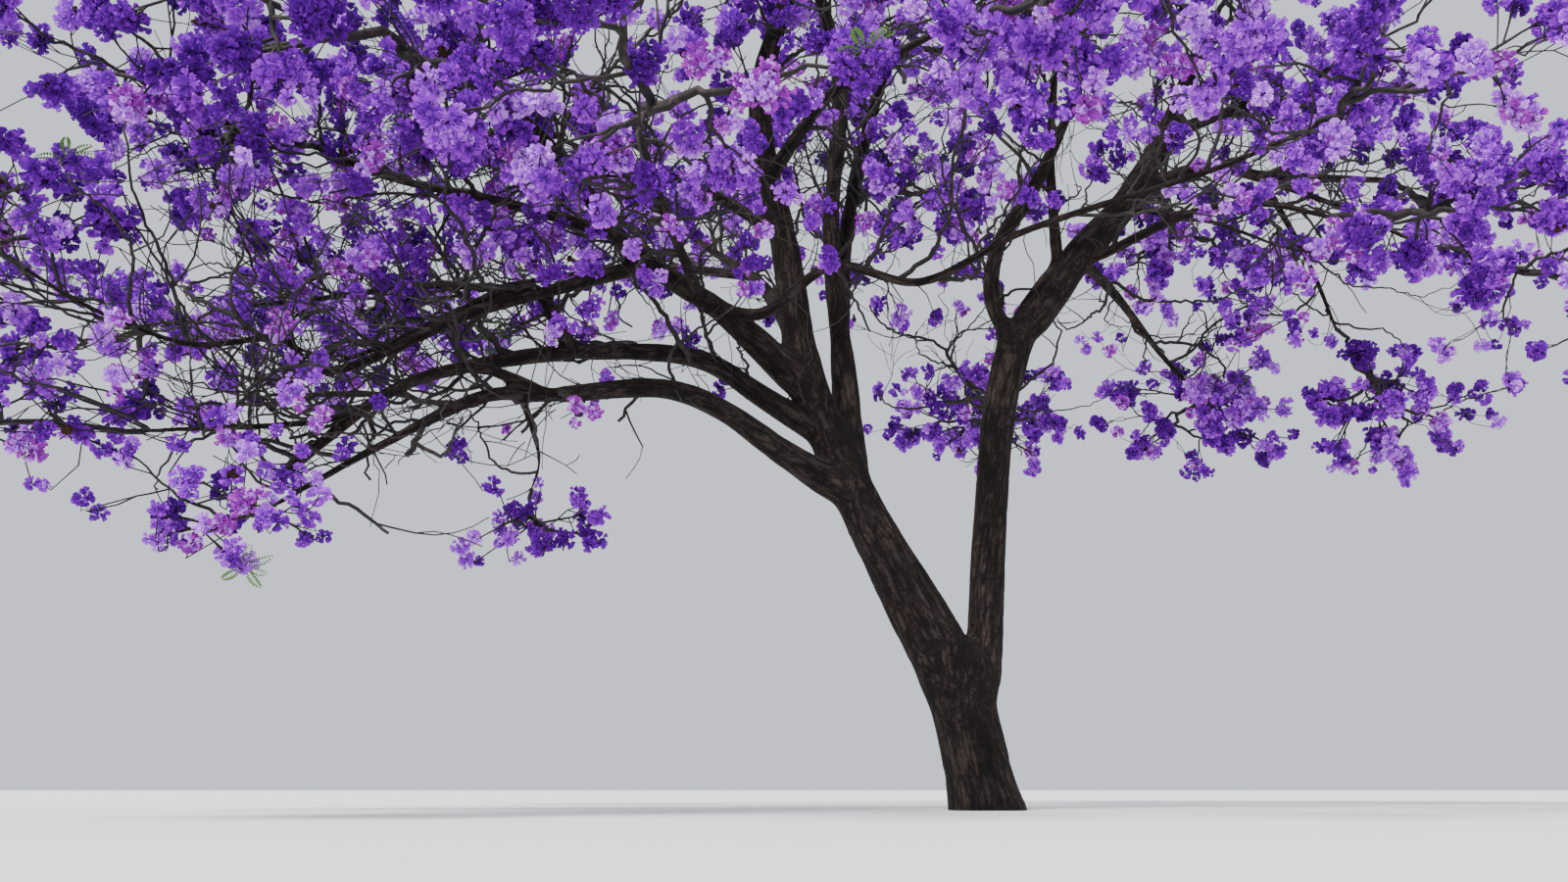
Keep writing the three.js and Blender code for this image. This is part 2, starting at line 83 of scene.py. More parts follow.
# The rule the tree grows by, in millimetres
TRUNK_FOOT = (44, 0, -280)
RING_SPACING = 1100
COLLAR_SWELL = 0.22
COLLAR_LENGTH = 420
FIRST_SEED = 121
SPACE_PER_SPRAY = 3.6e9
FEWEST_SPRAYS = 5
SPRAY_RADIUS = (460, 620)
SPRAY_INSET = 0.6
PLACE_TRIES = 14
TWIG_CLEARANCE = 25
TWIG_STEP = 120
BORDER_CLEARANCE = 12
STEM_LENGTH = 260
FORK_SHARES = (0.45, 0.3, 0.62, 0.15)
CURVE_STEPS = 200           # that a curve is measured in

# The finer growth: each spray is lumps of blossom, and each lump is a few panicles
FINE_SEED = 5021
LUMPS = 4                   # lumps that a spray is made of
LUMP_TRIES = 8
LUMP_SPREAD = 1.5           # how far they spread from its middle, as a share of its radius
LUMP_EDGE = 90              # how far a lump's flowers stand out from its panicles' places
LUMP_SIZES = (1, 2, 3, 4, 4, 5, 7, 9, 13)       # panicles in a lump, dealt at random
OPEN_SIZES = (1, 1, 2, 2, 3, 4, 5, 7, 9)        # the same in the masses the sky shows through
SPARSE_SIZES = (1, 1, 2, 3, 3, 4)               # and in the thin low masses
OPEN = {"inner_blossom", "front_right_blossom", "mid_top_blossom"}
SPARSE = {"low_left_blossom", "low_fork_blossom", "hanging_blossom"}
TIP_SIZES = (1, 1, 2, 2, 3, 4, 5)               # panicles at the tip of a branch
PANICLE_SPACE = 108         # space between a lump's panicles
PANICLE_RADIUS = 0.13       # metres
LEAST_SIZE, SIZE_RANGE = 0.68, 0.58             # of a panicle within a mass
TONE_SHARES = (0.35, 0.35, 0.3)                 # of spray, lump and panicle in a panicle's tone
KINDS = 5                   # of panicle, for each row of FLOWERS and depth
LONGEST_PUFF = 1.7          # how much longer than wide a panicle's puff is at most
# A panicle's outer flowers, those behind them in the next darker colour as painted shade, and the
# length of a flower in metres, by how far it hangs from where the photographer stood, in metres
FLOWERS = [(12.5, (32, 8, 0.061)), (19.5, (17, 5, 0.079)), (math.inf, (11, 4, 0.094))]
PETALS = 5
SMALL_BELOW, LARGE_ABOVE = 4000, 9000           # heights between which panicles grow larger
EASE_ROUNDS = 3             # how often the bends of a mass's twigs are drawn smoother
TWIG_END = 8.5              # radius of the twig that carries one panicle
TWIG_GROWTH = 0.42          # power of its load that a twig's radius grows by

# Branches that wander out from the limbs and bear blossom at some of their tips
WANDER_SEED, FAN_SEED, HANG_SEED = 5, 6, 8
BRANCHES = 1.4              # along a metre of limb
BRANCH_LENGTH = (1500, 3600)
BRANCH_RADIUS = (20, 46)
SMALL_TWIGS = 2.2           # along a metre of limb
SMALL_LENGTH = (500, 1300)
SMALL_RADIUS = (11, 16)
BRANCH_FIRST = 0.12         # share of a limb's length at which its branches begin
BRANCH_STEP = 210
BRANCH_ROOT = 120           # how deep in its limb a branch begins
BRANCH_TAPER = 0.62         # share of its radius that a branch loses by its tip
BEND_KEPT, BEND_ADDED = 0.68, 0.16              # how a branch's bend changes from step to step
RISE = 0.045                # how much a branch turns up at each step
FORKS = 0.3                 # chance of a fork at a step
DEEPEST_FORK = 2            # forks of forks
FORK_SPREAD = 1.1           # how far a fork turns away
FORK_LENGTH, FORK_RADIUS = 0.3, 0.72            # least length and radius, as shares of the branch's
HEADING = (0.9, 0.8, 0.22)  # how far a branch heads along its limb, away from it and up
# Boughs whose outer part spreads like a fan, by how many branches leave a metre and how widely
FANS = [
    (2.5, 0.3, ["cut_bough", "low_left_bough", "low_fork_bough", "long_left_bough",
                "upper_left_bough", "arched_bough", "shoulder_bough"]),
    (3.4, 0.4, ["left_high_bough", "far_left_bough", "far_back_left_bough"]),
    (1.4, 0.6, ["back_left_bough", "back_top_bough", "back_bough", "back_right_bough",
                "right_back_bough", "back_right_high_bough", "right_low_bough", "front_bough",
                "front_left_bough", "drooping_bough", "upper_right_bough"]),
]
FAN_FIRST = 0.5             # share of a fanned bough's length at which its fan begins
FAN_HEADING, FAN_TURN = (1, 1, 0.4), (1, 1, 0.67)       # flatter than the bough itself
FAN_LENGTH = (1300, 4000)
FAN_RADIUS = (12, 30)
THICKEST_BEARER = 190       # radius of the thickest stretch of limb that bears branches
THINNEST_TWIG = 7.5
LOWEST_TWIG = 2500          # height below which no branch hangs
BRANCH_MARGIN, BLOSSOM_MARGIN = 60, 200         # how far they stay within the reach
DEEPEST_DROOP = 600         # how far a branch hangs below its start
TIPS_IN_BLOOM = 0.55        # share of the tips within a mass that bear blossom
HIGH_TIPS_IN_BLOOM = 0.42   # the same outside the masses, high up
LOW_TIPS_IN_BLOOM = 0.08    # and low down, where the sky shows through
HIGH_UP = 6200
BARE_ROUND_LIMBS = 450      # how near a limb no tip outside the masses bears blossom
HANGING_STEMS = {"crossing_bough": 6, "upper_left_bough": 5, "cut_bough": 4, "inner_bough": 3,
                 "twin_bough": 2, "drooping_bough": 2, "level_bough": 2, "front_bough": 2,
                 "shoulder_bough": 2}
HANGING_LENGTH = (700, 2000)
HANGING_RADIUS = (9, 6)
HANG_FIRST, HANG_RANGE = 0.15, 0.75             # the stretch of a bough that they hang from
HANGING_SWAY = (55, 55, 0)
STOUT_TWIG = 19             # radius above which a twig is drawn as a branch
BRANCH_SIDES, BRANCH_SPACING = 5, 170           # sides round it and length of its stretches
TWIG_SIDES, TWIG_SPACING = 3, 260
WIGGLE = 0.1                # how far a twig sways, as a share of its stretch
PODS = 320                  # clusters of seed pods
LEAF_TUFTS = 46
SPARE_KINDS = 3             # of pod cluster and of leaf tuft

# The mesh of the limbs and its bark
WOOD_SEED, NOISE_SEED = 77, 11
WOOD_GRAIN = 0.026          # fineness of the mesh of the limbs, in metres
TUBE_SIDES = 40
TAPER_IN, QUICK_IN = 1.6, {"right_stem": 0.3}   # radii in which a limb swells to its full girth
FLARE_HEIGHT = 420          # of the roots
VALLEY_TURN = 1.37          # where the valley lies round the trunk, in radians
VALLEY_DEPTH = 0.32         # as a share of the trunk's radius
VALLEY_WIDTH = 0.34
JOIN_ROUNDS = 130           # how often the joins of the limbs are rounded off
NEAR_SAMPLES = 14           # places on the limbs that each point of the wood is held against

# Each colour of blossom with its share of the panicles, from the darkest tone to the lightest: one
# violet made darker as painted shade and lighter as painted sunlight on whole lumps, dealt at
# random, and pink as the flowers' own tint
SHADES = [
    ("deep", 0.12, (0.12, 0.001, 0.31)),
    ("violet", 0.20, (0.215, 0.006, 0.49)),
    ("bright", 0.23, (0.35, 0.024, 0.67)),
    ("lilac", 0.21, (0.49, 0.085, 0.82)),
    ("pale", 0.16, (0.68, 0.28, 0.97)),
    ("pink", 0.08, (0.38, 0.03, 0.50)),
]

# The pieces of the wood and the limbs in each
GROUPS = [
    ("trunk_and_stems", ["trunk", "left_stem", "right_stem", "upright_stem"]),
    ("left_boughs", ["upper_left_bough", "long_left_bough", "crossing_bough", "cut_bough",
                     "low_left_bough", "low_fork_bough", "hanging_bough", "arched_bough"]),
    ("outer_left_boughs", ["back_left_bough", "far_back_left_bough", "shoulder_bough",
                           "left_high_bough", "far_left_bough", "front_bough", "front_left_bough"]),
]
REST = "right_boughs"       # the piece of all the other limbs

# Each limb: its name, the limb it grows from and how far along that, its girths from end to end,
# and its reaches as bearing, climb and length; then the mass it bears, its middle and half sizes
LIMBS = [
    ("trunk", None, 0, [1010, 990, 970, 1050, 1180], [(180, 81, 1400), (180, 77, 1050)]),
    ("left_stem", "trunk", 0.8, [980, 830, 650, 480, 400, 300], [(200, 65, 600), (200, 60, 2600),
     (208, 64, 2300), (238, 72, 1950), (240, 70, 2400), (302, 60, 1700)], "left_top_blossom",
     (-3400, -4200, 13100), (2900, 2600, 1600)),
    ("right_stem", "trunk", 0.66, [700, 600, 540, 560, 640], [(20, 70, 870), (22, 83, 2000),
     (17, 82, 2350), (0, 74, 1400)]),
    ("upright_stem", "left_stem", 0.307, [540, 440, 340, 300, 340, 240], [(115, 82, 2300),
     (129, 84, 2350), (51, 85, 3300), (238, 60, 1500)], "top_blossom", (-3200, 300, 15000),
     (2800, 2500, 1600)),
    ("rear_stem", "upright_stem", 0.29, [330, 290, 270, 220], [(78, 73, 1750), (65, 70, 2000),
     (52, 69, 3100)], "rear_top_blossom", (100, 2700, 14900), (2800, 2600, 1700)),
    ("upper_left_bough", "left_stem", 0.447, [540, 400, 320, 200, 130], [(214, 32, 1850),
     (225, 15, 1900), (242, 20, 2050), (242, 8, 1500)], "upper_left_blossom", (-7800, -7600, 8000),
     (2700, 2300, 1300)),
    ("long_left_bough", "upper_left_bough", 0.47, [250, 210, 185, 150, 120, 90, 75],
     [(221, -29, 1200), (218, -28, 1650), (223, -33, 2450), (211, 45, 450), (216, -15, 1000),
     (217, 10, 1000), (220, 22, 700)], "long_left_blossom", (-11700, -7700, 5900),
     (2000, 1700, 1200)),
    ("crossing_bough", "upper_left_bough", 0.28, [230, 180, 150, 140, 120, 100], [(343, -12, 700),
     (339, 28, 1250), (347, -16, 1350), (340, 20, 1550), (334, 8, 2800), (318, 5, 900)],
     "front_right_blossom", (4300, -6700, 8500), (2700, 2300, 1300)),
    ("cut_bough", "left_stem", 0.384, [430, 360, 300, 260, 210, 180, 150], [(206, 25, 1400),
     (207, 23, 950), (217, -8, 1850), (218, -18, 1700), (218, -27, 1300), (227, -46, 1950)]),
    ("low_left_bough", "left_stem", 0.297, [560, 440, 350, 300, 240, 200, 130, 80],
     [(211, 22, 1400), (218, 22, 1250), (224, 5, 1050), (223, -15, 2000), (228, -14, 950),
     (229, -34, 1600), (225, -38, 1500)], "low_left_blossom", (-8900, -7200, 3000),
     (1400, 1200, 850)),
    ("low_fork_bough", "low_left_bough", 0.58, [180, 160, 130, 100, 75], [(225, 5, 1100),
     (223, -22, 800), (221, -36, 1150), (213, -14, 2000)], "low_fork_blossom",
     (-10900, -7500, 3800), (1600, 1400, 900)),
    ("hanging_bough", "low_left_bough", 0.63, [110, 90, 60], [(329, -68, 1000), (243, -74, 420)],
     "hanging_blossom", (-6100, -4700, 3400), (1100, 1000, 700)),
    ("right_bough", "right_stem", 0.97, [640, 620, 560, 420, 280], [(14, 53, 2100), (22, 48, 1650),
     (16, 58, 1850), (350, 66, 1600)], "right_top_blossom", (4900, 500, 14400),
     (2700, 2500, 1500)),
    ("inner_bough", "right_stem", 0.94, [310, 280, 260, 200, 120], [(209, 67, 1050),
     (288, 62, 900), (309, 39, 800), (290, 34, 2400)], "inner_blossom", (1600, -3900, 11700),
     (2600, 2300, 1400)),
    ("twin_bough", "right_bough", 0.2, [240, 200, 170, 130], [(255, 59, 1400), (258, 52, 800),
     (274, 65, 1700)], "mid_top_blossom", (1300, -1000, 13900), (2500, 2300, 1300)),
    ("drooping_bough", "right_bough", 0.243, [230, 190, 180, 150, 100], [(330, 14, 800),
     (319, 9, 1400), (313, -12, 1250), (303, -32, 1300)], "drooping_blossom", (6200, -3900, 7800),
     (2500, 2100, 1300)),
    ("level_bough", "right_bough", 0.554, [270, 230, 200, 140], [(0, 24, 1400), (355, -10, 1150),
     (5, 0, 2300)], "right_end_blossom", (9800, 1700, 10900), (2500, 2500, 1500)),
    ("upper_right_bough", "right_bough", 0.775, [280, 230, 170], [(13, 27, 1950), (12, 35, 900)],
     "upper_right_blossom", (7900, 2000, 13700), (2500, 2600, 1500)),
    ("back_left_bough", "left_stem", 0.52, [330, 260, 200, 130], [(111, 44, 2600), (117, 35, 2450),
     (125, 38, 1700)], "back_left_blossom", (-5600, 4600, 12100), (2900, 2700, 1600)),
    ("far_back_left_bough", "back_left_bough", 0.45, [200, 170, 140, 100], [(167, 10, 2100),
     (172, -4, 2100), (176, -10, 1500)], "far_back_left_blossom", (-11200, 2000, 8600),
     (2800, 2800, 1800)),
    ("shoulder_bough", "left_stem", 0.667, [250, 190, 150, 110], [(180, 33, 1450), (192, 13, 1500),
     (190, 22, 900)], "left_shoulder_blossom", (-7800, -2500, 10200), (2900, 2700, 1600)),
    ("left_high_bough", "upper_left_bough", 0.56, [200, 170, 140, 100], [(192, 12, 1600),
     (197, 6, 1700), (188, 22, 1000)], "left_high_blossom", (-11100, -4900, 8900),
     (2600, 2500, 1500)),
    ("far_left_bough", "long_left_bough", 0.225, [160, 140, 110, 90], [(165, 10, 1650),
     (182, -8, 1450), (178, -6, 1150)], "far_left_blossom", (-12000, -3300, 6300),
     (2500, 2400, 1400)),
    ("back_top_bough", "rear_stem", 0.434, [240, 190, 120], [(74, 32, 2450), (62, 24, 2000)],
     "back_top_blossom", (700, 5900, 13200), (2600, 2200, 1500)),
    ("back_bough", "right_stem", 0.767, [290, 230, 180, 120], [(80, 25, 2500), (84, 10, 2400),
     (82, 6, 1500)], "back_blossom", (1700, 8000, 8500), (2900, 2300, 1400)),
    ("back_right_bough", "right_bough", 0.29, [260, 210, 160, 110], [(57, 0, 2050),
     (50, -18, 2100), (48, -16, 1200)], "back_right_blossom", (6100, 6000, 7900),
     (2700, 2400, 1400)),
    ("back_right_high_bough", "right_bough", 0.628, [230, 180, 120], [(62, 12, 1800),
     (60, 4, 1500)], "back_right_high_blossom", (5800, 5500, 11900), (2800, 2500, 1500)),
    ("right_back_bough", "level_bough", 0.515, [160, 130, 90], [(44, -34, 2150), (48, -42, 1500)],
     "right_back_blossom", (9200, 4200, 7500), (2500, 2300, 1500)),
    ("right_low_bough", "level_bough", 0.4, [160, 130, 90], [(322, -36, 1900), (330, -40, 2000)],
     "right_low_blossom", (9200, -1600, 7600), (2500, 2300, 1500)),
    ("front_bough", "left_stem", 0.75, [250, 190, 150, 100], [(292, 3, 2300), (295, -14, 2450),
     (293, -18, 1200)], "front_blossom", (500, -8900, 7800), (2700, 2300, 1300)),
    ("front_left_bough", "upper_left_bough", 0.33, [200, 160, 130, 90], [(262, 6, 2200),
     (268, -4, 2000), (272, -12, 900)], "front_left_blossom", (-4400, -8900, 6900),
     (2800, 2100, 1300)),
]

# Thinner limbs that the photograph shows, grown the same way
SPURS = [
    ("arched_bough", "cut_bough", 0.5, [236, 200, 160, 120, 80], [(204, 59, 490), (225, 50, 430),
     (222, 8, 300), (221, -35, 1120), (212, -36, 950), (207, -31, 760)]),
    ("slanting_bough", "right_bough", 0.5, [150, 120, 90, 70], [(313, -23, 745), (310, -32, 615),
     (312, -28, 610), (307, -37, 785), (305, -38, 620), (311, -30, 760)]),
]


def unit(vector):
    return vector / norm(vector)


def between(span, share):
    return span[0] + (span[1] - span[0]) * share


def seeded_numbers(seed):
    state = seed

    def draw():
        nonlocal state
        state = state * 16807 % 2147483647
        return state / 2147483647

    return draw


def reach_vector(bearing, climb, length):
    turn, rise = math.radians(bearing), math.radians(climb)
    level = length * math.cos(rise)
    return np.array([level * math.cos(turn), level * math.sin(turn), length * math.sin(rise)])


def smooth_line(a, b, leaving, arriving, t):
    """Points on the smooth line from a to b, given the ways it leaves and arrives in."""
    t2, t3 = t * t, t * t * t
    return ((2 * t3 - 3 * t2 + 1) * a + (t3 - 2 * t2 + t) * leaving
            + (3 * t2 - 2 * t3) * b + (t3 - t2) * arriving)


class Limb:
    """A limb: a centripetal curve through its bends, read off by share of its length."""

    def __init__(self, name, parent, along, girth, reaches, mass=None, middle=(), half=()):
        self.name, self.parent, self.mass = name, parent, mass
        self.radii = np.array(girth, float) / 2
        self.middle, self.half = np.array(middle, float), np.array(half, float)
        bends = [parent.at(along)[0] if parent else np.array(TRUNK_FOOT, float)]
        for reach in reaches:
            bends.append(bends[-1] + reach_vector(*reach))
        self.ends = np.vstack([2 * bends[0] - bends[1], *bends, 2 * bends[-1] - bends[-2]])
        self.spans = len(bends) - 1
        self.steps = np.linspace(0, 1, CURVE_STEPS + 1)
        stretches = np.diff(self.at_step(self.steps), axis=0)
        self.lengths = np.append(0, np.cumsum(norm(stretches, axis=1)))
        self.length = self.lengths[-1]

    def at_step(self, steps):
        place = np.clip(steps, 0, 1) * self.spans
        span = np.minimum(place.astype(int), self.spans - 1)
        a, b, c, d = (self.ends[span + k] for k in range(4))
        ta, tb, tc = (np.sqrt(norm(way, axis=1))[:, None] for way in (b - a, c - b, d - c))
        leaving = ((b - a) / ta - (c - a) / (ta + tb) + (c - b) / tb) * tb
        arriving = ((c - b) / tb - (d - b) / (tb + tc) + (d - c) / tc) * tb
        return smooth_line(b, c, leaving, arriving, (place - span)[:, None])

    def at(self, shares):
        along = np.atleast_1d(shares) * self.length
        return self.at_step(np.interp(along, self.lengths, self.steps))

    def direction(self, shares):
        way = self.at(np.minimum(shares + 1e-3, 1)) - self.at(np.maximum(shares - 1e-3, 0))
        return way / norm(way, axis=1)[:, None]

    def radius(self, shares):
        radius = np.interp(shares, np.linspace(0, 1, len(self.radii)), self.radii)
        if self.parent:
            radius = radius * (1 + COLLAR_SWELL * np.exp(-shares * self.length / COLLAR_LENGTH))
        return radius

    def frame(self, share):
        """The limb's place, direction and radius at one share of its length."""
        return self.at(share)[0], self.direction(share)[0], self.radius(np.array([share]))[0]


def grow_limbs(rows):
    grown = {}
    for name, parent, *rest in rows:
        grown[name] = Limb(name, grown.get(parent), *rest)
    return grown


class Stretches:
    """The limbs as straight stretches, to keep twigs and sprays clear of them."""

    def __init__(self, limbs):
        rows = []
        for limb in limbs:
            rings = max(3, math.ceil(limb.length / RING_SPACING))
            shares = np.linspace(0, 1, rings + 1)
            points, radius = limb.at(shares), limb.radius(shares)
            rows.append((points[:-1], np.diff(points, axis=0), np.maximum(radius[:-1], radius[1:])))
        self.starts, self.ways, self.radii = map(np.concatenate, zip(*rows))
        self.squares = (self.ways ** 2).sum(1)

    def clear(self, point, radius):
        share = np.clip(((point - self.starts) * self.ways).sum(1) / self.squares, 0, 1)
        away = point - self.starts - self.ways * share[:, None]
        least = self.radii + radius + TWIG_CLEARANCE
        return bool(((away ** 2).sum(1) >= least ** 2).all())

    def twig_clear(self, start, end, radius):
        steps = max(1, math.ceil(norm(end - start) / TWIG_STEP))
        return all(self.clear(start + (end - start) * i / steps, radius)
                   for i in range(1, steps + 1))


class Space:
    """The space of one mass: an ellipsoid with a plane towards each of the other masses."""

    def __init__(self, limb, bearers):
        self.middle, self.half = limb.middle, limb.half
        others = [other for other in bearers if other is not limb]
        ways = np.array([other.middle for other in others]) - self.middle
        lengths = norm(ways, axis=1)
        means = np.array([other.half.mean() for other in others])
        self.normals = ways / lengths[:, None]
        self.reaches = lengths * self.half.mean() / (self.half.mean() + means)

    def inside(self, point, radius):
        offset = point - self.middle
        if ((offset / (self.half - radius * SPRAY_INSET)) ** 2).sum() > 1:
            return False
        return bool((self.normals @ offset + radius + BORDER_CLEARANCE < self.reaches).all())


def point_in_ball(draw):
    while True:
        point = np.array([draw(), draw(), draw()]) * 2 - 1
        if point @ point <= 1:
            return point


def freest_place(tries, propose, fits, others):
    """Of several places that fit, the one that is farthest from the others."""
    best, most = None, -1
    for _ in range(tries):
        point = propose()
        if fits(point):
            nearest = min((norm(other - point) for other in others), default=math.inf)
            if nearest > most:
                best, most = point, nearest
    return best


def spray_places(space, stretches, draw):
    """Places and radii for a mass's sprays, inside it and clear of the limbs."""
    wanted = max(FEWEST_SPRAYS, round(4 / 3 * math.pi * np.prod(space.half) / SPACE_PER_SPRAY))
    sprays = []
    for _ in range(wanted):
        radius = between(SPRAY_RADIUS, draw())
        place = freest_place(
            PLACE_TRIES, lambda: space.middle + point_in_ball(draw) * space.half,
            lambda point: space.inside(point, radius) and stretches.clear(point, radius),
            [other for other, _ in sprays])
        if place is not None:
            sprays.append((place, radius))
    return sprays


def lump_places(middle, radius, space, stretches, draw, others, sizes):
    """Places for the lumps of a spray, by the same rule on a smaller scale."""
    lumps = []
    for _ in range(LUMPS):
        count = sizes[int(draw() * len(sizes))]
        reach = PANICLE_SPACE * count ** (1 / 3)
        place = freest_place(
            LUMP_TRIES, lambda: middle + point_in_ball(draw) * radius * LUMP_SPREAD,
            lambda point: (space.inside(point, reach + LUMP_EDGE)
                           and stretches.clear(point, reach * 0.6)), others)
        if place is not None:
            others.append(place)
            lumps.append((place, reach, count))
    return lumps


def divide(ends):
    """Part a twig's ends in two, across the direction from their middle to the farthest of them."""
    points = np.array([end["point"] for end in ends])
    offsets = points - points.mean(0)
    position = offsets @ offsets[np.argmax((offsets ** 2).sum(1))]
    near = [end for end, place in zip(ends, position) if place > 0]
    far = [end for end, place in zip(ends, position) if place <= 0]
    if not near or not far:
        near, far = ends[:1], ends[1:]
    return (near, far) if len(near) >= len(far) else (far, near)


def twig_radius(ends):
    return TWIG_END * sum(end["load"] for end in ends) ** TWIG_GROWTH


def eased(path):
    """A path with the bends between its first two places and its last one drawn smooth."""
    points = np.array([point for point, _ in path])
    for _ in range(EASE_ROUNDS):
        points[2:-1] = points[2:-1] * 0.5 + (points[1:-2] + points[3:]) * 0.25
    return [(point, radius) for point, (_, radius) in zip(points, path)]


def grow_twig(path, ends, stretches, twigs):
    """Grow a twig through the forks that lead to its ends: the larger half carries it on."""
    offshoots = []
    node, ahead = path[-1][0], ends
    while True:
        if len(ahead) == 1 and ahead[0].get("ends"):
            ahead = ahead[0]["ends"]
        if len(ahead) <= 1:
            break
        radius = twig_radius(ahead)
        middle = np.mean([end["point"] for end in ahead], axis=0)
        forks = [node + (middle - node) * share for share in FORK_SHARES]
        fork = next((place for place in forks if stretches.twig_clear(node, place, radius)), None)
        if fork is None:
            break
        larger, smaller = divide(ahead)
        path.append((fork, twig_radius(larger) * 0.5 + radius * 0.5))
        offshoots.append((len(path) - 1, smaller))
        node, ahead = fork, larger
    path = eased(path)
    if len(ahead) == 1:
        end = ahead[0]
        reach = end["axis"] * end["size"] * PANICLE_RADIUS * 1000
        path.append((end["point"] - reach, TWIG_END))
        path.append((end["point"] + reach * 0.5, TWIG_END * 0.6))
        end["carried"] = True
    if len(path) > 2:
        twigs.append(path)
    for k, smaller in offshoots:
        radius = twig_radius(smaller)
        grow_twig([(path[k - 1][0], radius), (path[k][0], radius)], smaller, stretches, twigs)


def grow_mass(number, limb, bearers, stretches, twigs, panicles):
    """One mass: its sprays, their lumps and panicles, and the twigs that lead to them all."""
    space = Space(limb, bearers)
    sprays = spray_places(space, stretches, seeded_numbers(FIRST_SEED + number))
    draw = seeded_numbers(FINE_SEED + number)
    sizes = SPARSE_SIZES if limb.mass in SPARSE else OPEN_SIZES if limb.mass in OPEN else LUMP_SIZES
    by_spray, by_lump, own = TONE_SHARES
    ends, others = [], []
    for spray, radius in sprays:
        spray_tone = draw()
        fine = []
        lumps = lump_places(spray, radius, space, stretches, draw, others, sizes)
        for lump, reach, count in lumps:
            lump_tone = draw()
            for _ in range(count):
                offset = point_in_ball(draw)
                fine.append({"point": lump + offset * reach * (count > 1),
                             "axis": unit(offset * 0.8 + UP * 0.5 + point_in_ball(draw) * 0.5),
                             "size": LEAST_SIZE + SIZE_RANGE * draw(),
                             "tone": by_spray * spray_tone + by_lump * lump_tone + own * draw(),
                             "load": 1})
        if fine:
            ends.append({"point": spray, "load": len(fine), "ends": fine})
    tip, ahead, radius = limb.frame(1)
    radius = max(radius * 0.93, 1)
    path = [(tip - ahead * STEM_LENGTH, radius), (tip - ahead * 20, radius),
            (tip + ahead * STEM_LENGTH, radius * 0.9)]
    grow_twig(path, ends, stretches, twigs)
    for end in ends:
        panicles.extend(fine for fine in end["ends"] if fine.get("carried"))


def in_reach(point, margin):
    """Whether a point lies within the reach of the solids, with a margin to spare."""
    return bool((point > REACH_LOW + margin).all() and (point < REACH_HIGH - margin).all())


def wander(start, way, length, radius, depth, numbers, twigs, tips):
    """A branch that bends to and fro as it goes, and forks on the way."""
    steps = max(3, round(length / BRANCH_STEP))
    path = [(start - way * BRANCH_ROOT, radius), (start, radius)]
    point, bend = start, numbers.normal(size=3) * 0.2
    for k in range(steps):
        bend = bend * BEND_KEPT + numbers.normal(size=3) * BEND_ADDED
        way = unit(way + bend + UP * RISE)
        ahead = point + way * length / steps
        lowest = max(LOWEST_TWIG, start[2] - DEEPEST_DROOP)
        if ahead[2] < lowest or not in_reach(ahead, BRANCH_MARGIN):
            break
        point = ahead
        path.append((point, max(radius * (1 - BRANCH_TAPER * (k + 1) / steps), THINNEST_TWIG)))
        if depth < DEEPEST_FORK and 0 < k < steps - 1 and numbers.random() < FORKS:
            side = np.cross(way, numbers.normal(size=3))
            wander(point, unit(way + unit(side) * FORK_SPREAD),
                   length * (FORK_LENGTH + 0.35 * numbers.random()),
                   path[-1][1] * FORK_RADIUS, depth + 1, numbers, twigs, tips)
    if len(path) > 3:
        twigs.append(path)
        tips.append((point, way))


def offshoots_of(limb, count, first, numbers):
    """Places spread along a limb, each with the limb's direction and radius, a size and a way."""
    for k in range(count):
        share = first + (1 - first) * (k + numbers.random()) / count
        size = numbers.random()
        yield *limb.frame(share), size, numbers.normal(size=3)


def grow_branches(limbs, often, lengths, radii, depth, numbers, twigs, tips):
    """Branches along the thinner stretches of the limbs."""
    onward, outward, upward = HEADING
    for limb in limbs.values():
        count = round(limb.length / 1000 * often)
        for place, ahead, radius, size, side in offshoots_of(limb, count, BRANCH_FIRST, numbers):
            if radius <= THICKEST_BEARER:
                way = unit(ahead * onward + unit(np.cross(ahead, side)) * outward + UP * upward)
                wander(place + way * radius * 0.6, way, between(lengths, size),
                       min(radius * 0.55, between(radii, size)), depth, numbers, twigs, tips)


def fan_out(limbs, often, spread, names, numbers, twigs, tips):
    """The outer parts of some boughs spread into branches that run on beside them."""
    for name in names:
        limb = limbs[name]
        count = round(limb.length * (1 - FAN_FIRST) / 1000 * often)
        for place, ahead, radius, size, side in offshoots_of(limb, count, FAN_FIRST, numbers):
            way = unit(ahead * FAN_HEADING + side * spread * FAN_TURN)
            wander(place + way * radius * 0.6, way, between(FAN_LENGTH, size),
                   min(radius * 0.6, between(FAN_RADIUS, size)), 0, numbers, twigs, tips)


def hang_stems(limbs, numbers, twigs):
    """Thin stems that hang almost straight down from the boughs."""
    thick, thin = HANGING_RADIUS
    for name, count in HANGING_STEMS.items():
        for k in range(count):
            place = limbs[name].at(HANG_FIRST + HANG_RANGE * (k + numbers.random()) / count)[0]
            down = UP * -between(HANGING_LENGTH, numbers.random())
            sway = numbers.normal(size=3) * HANGING_SWAY
            if place[2] + down[2] > LOWEST_TWIG:
                twigs.append([(place - down * 0.1, thick), (place, thick),
                              (place + down * 0.5 + sway, thick),
                              (place + down + sway * 1.6, thin)])


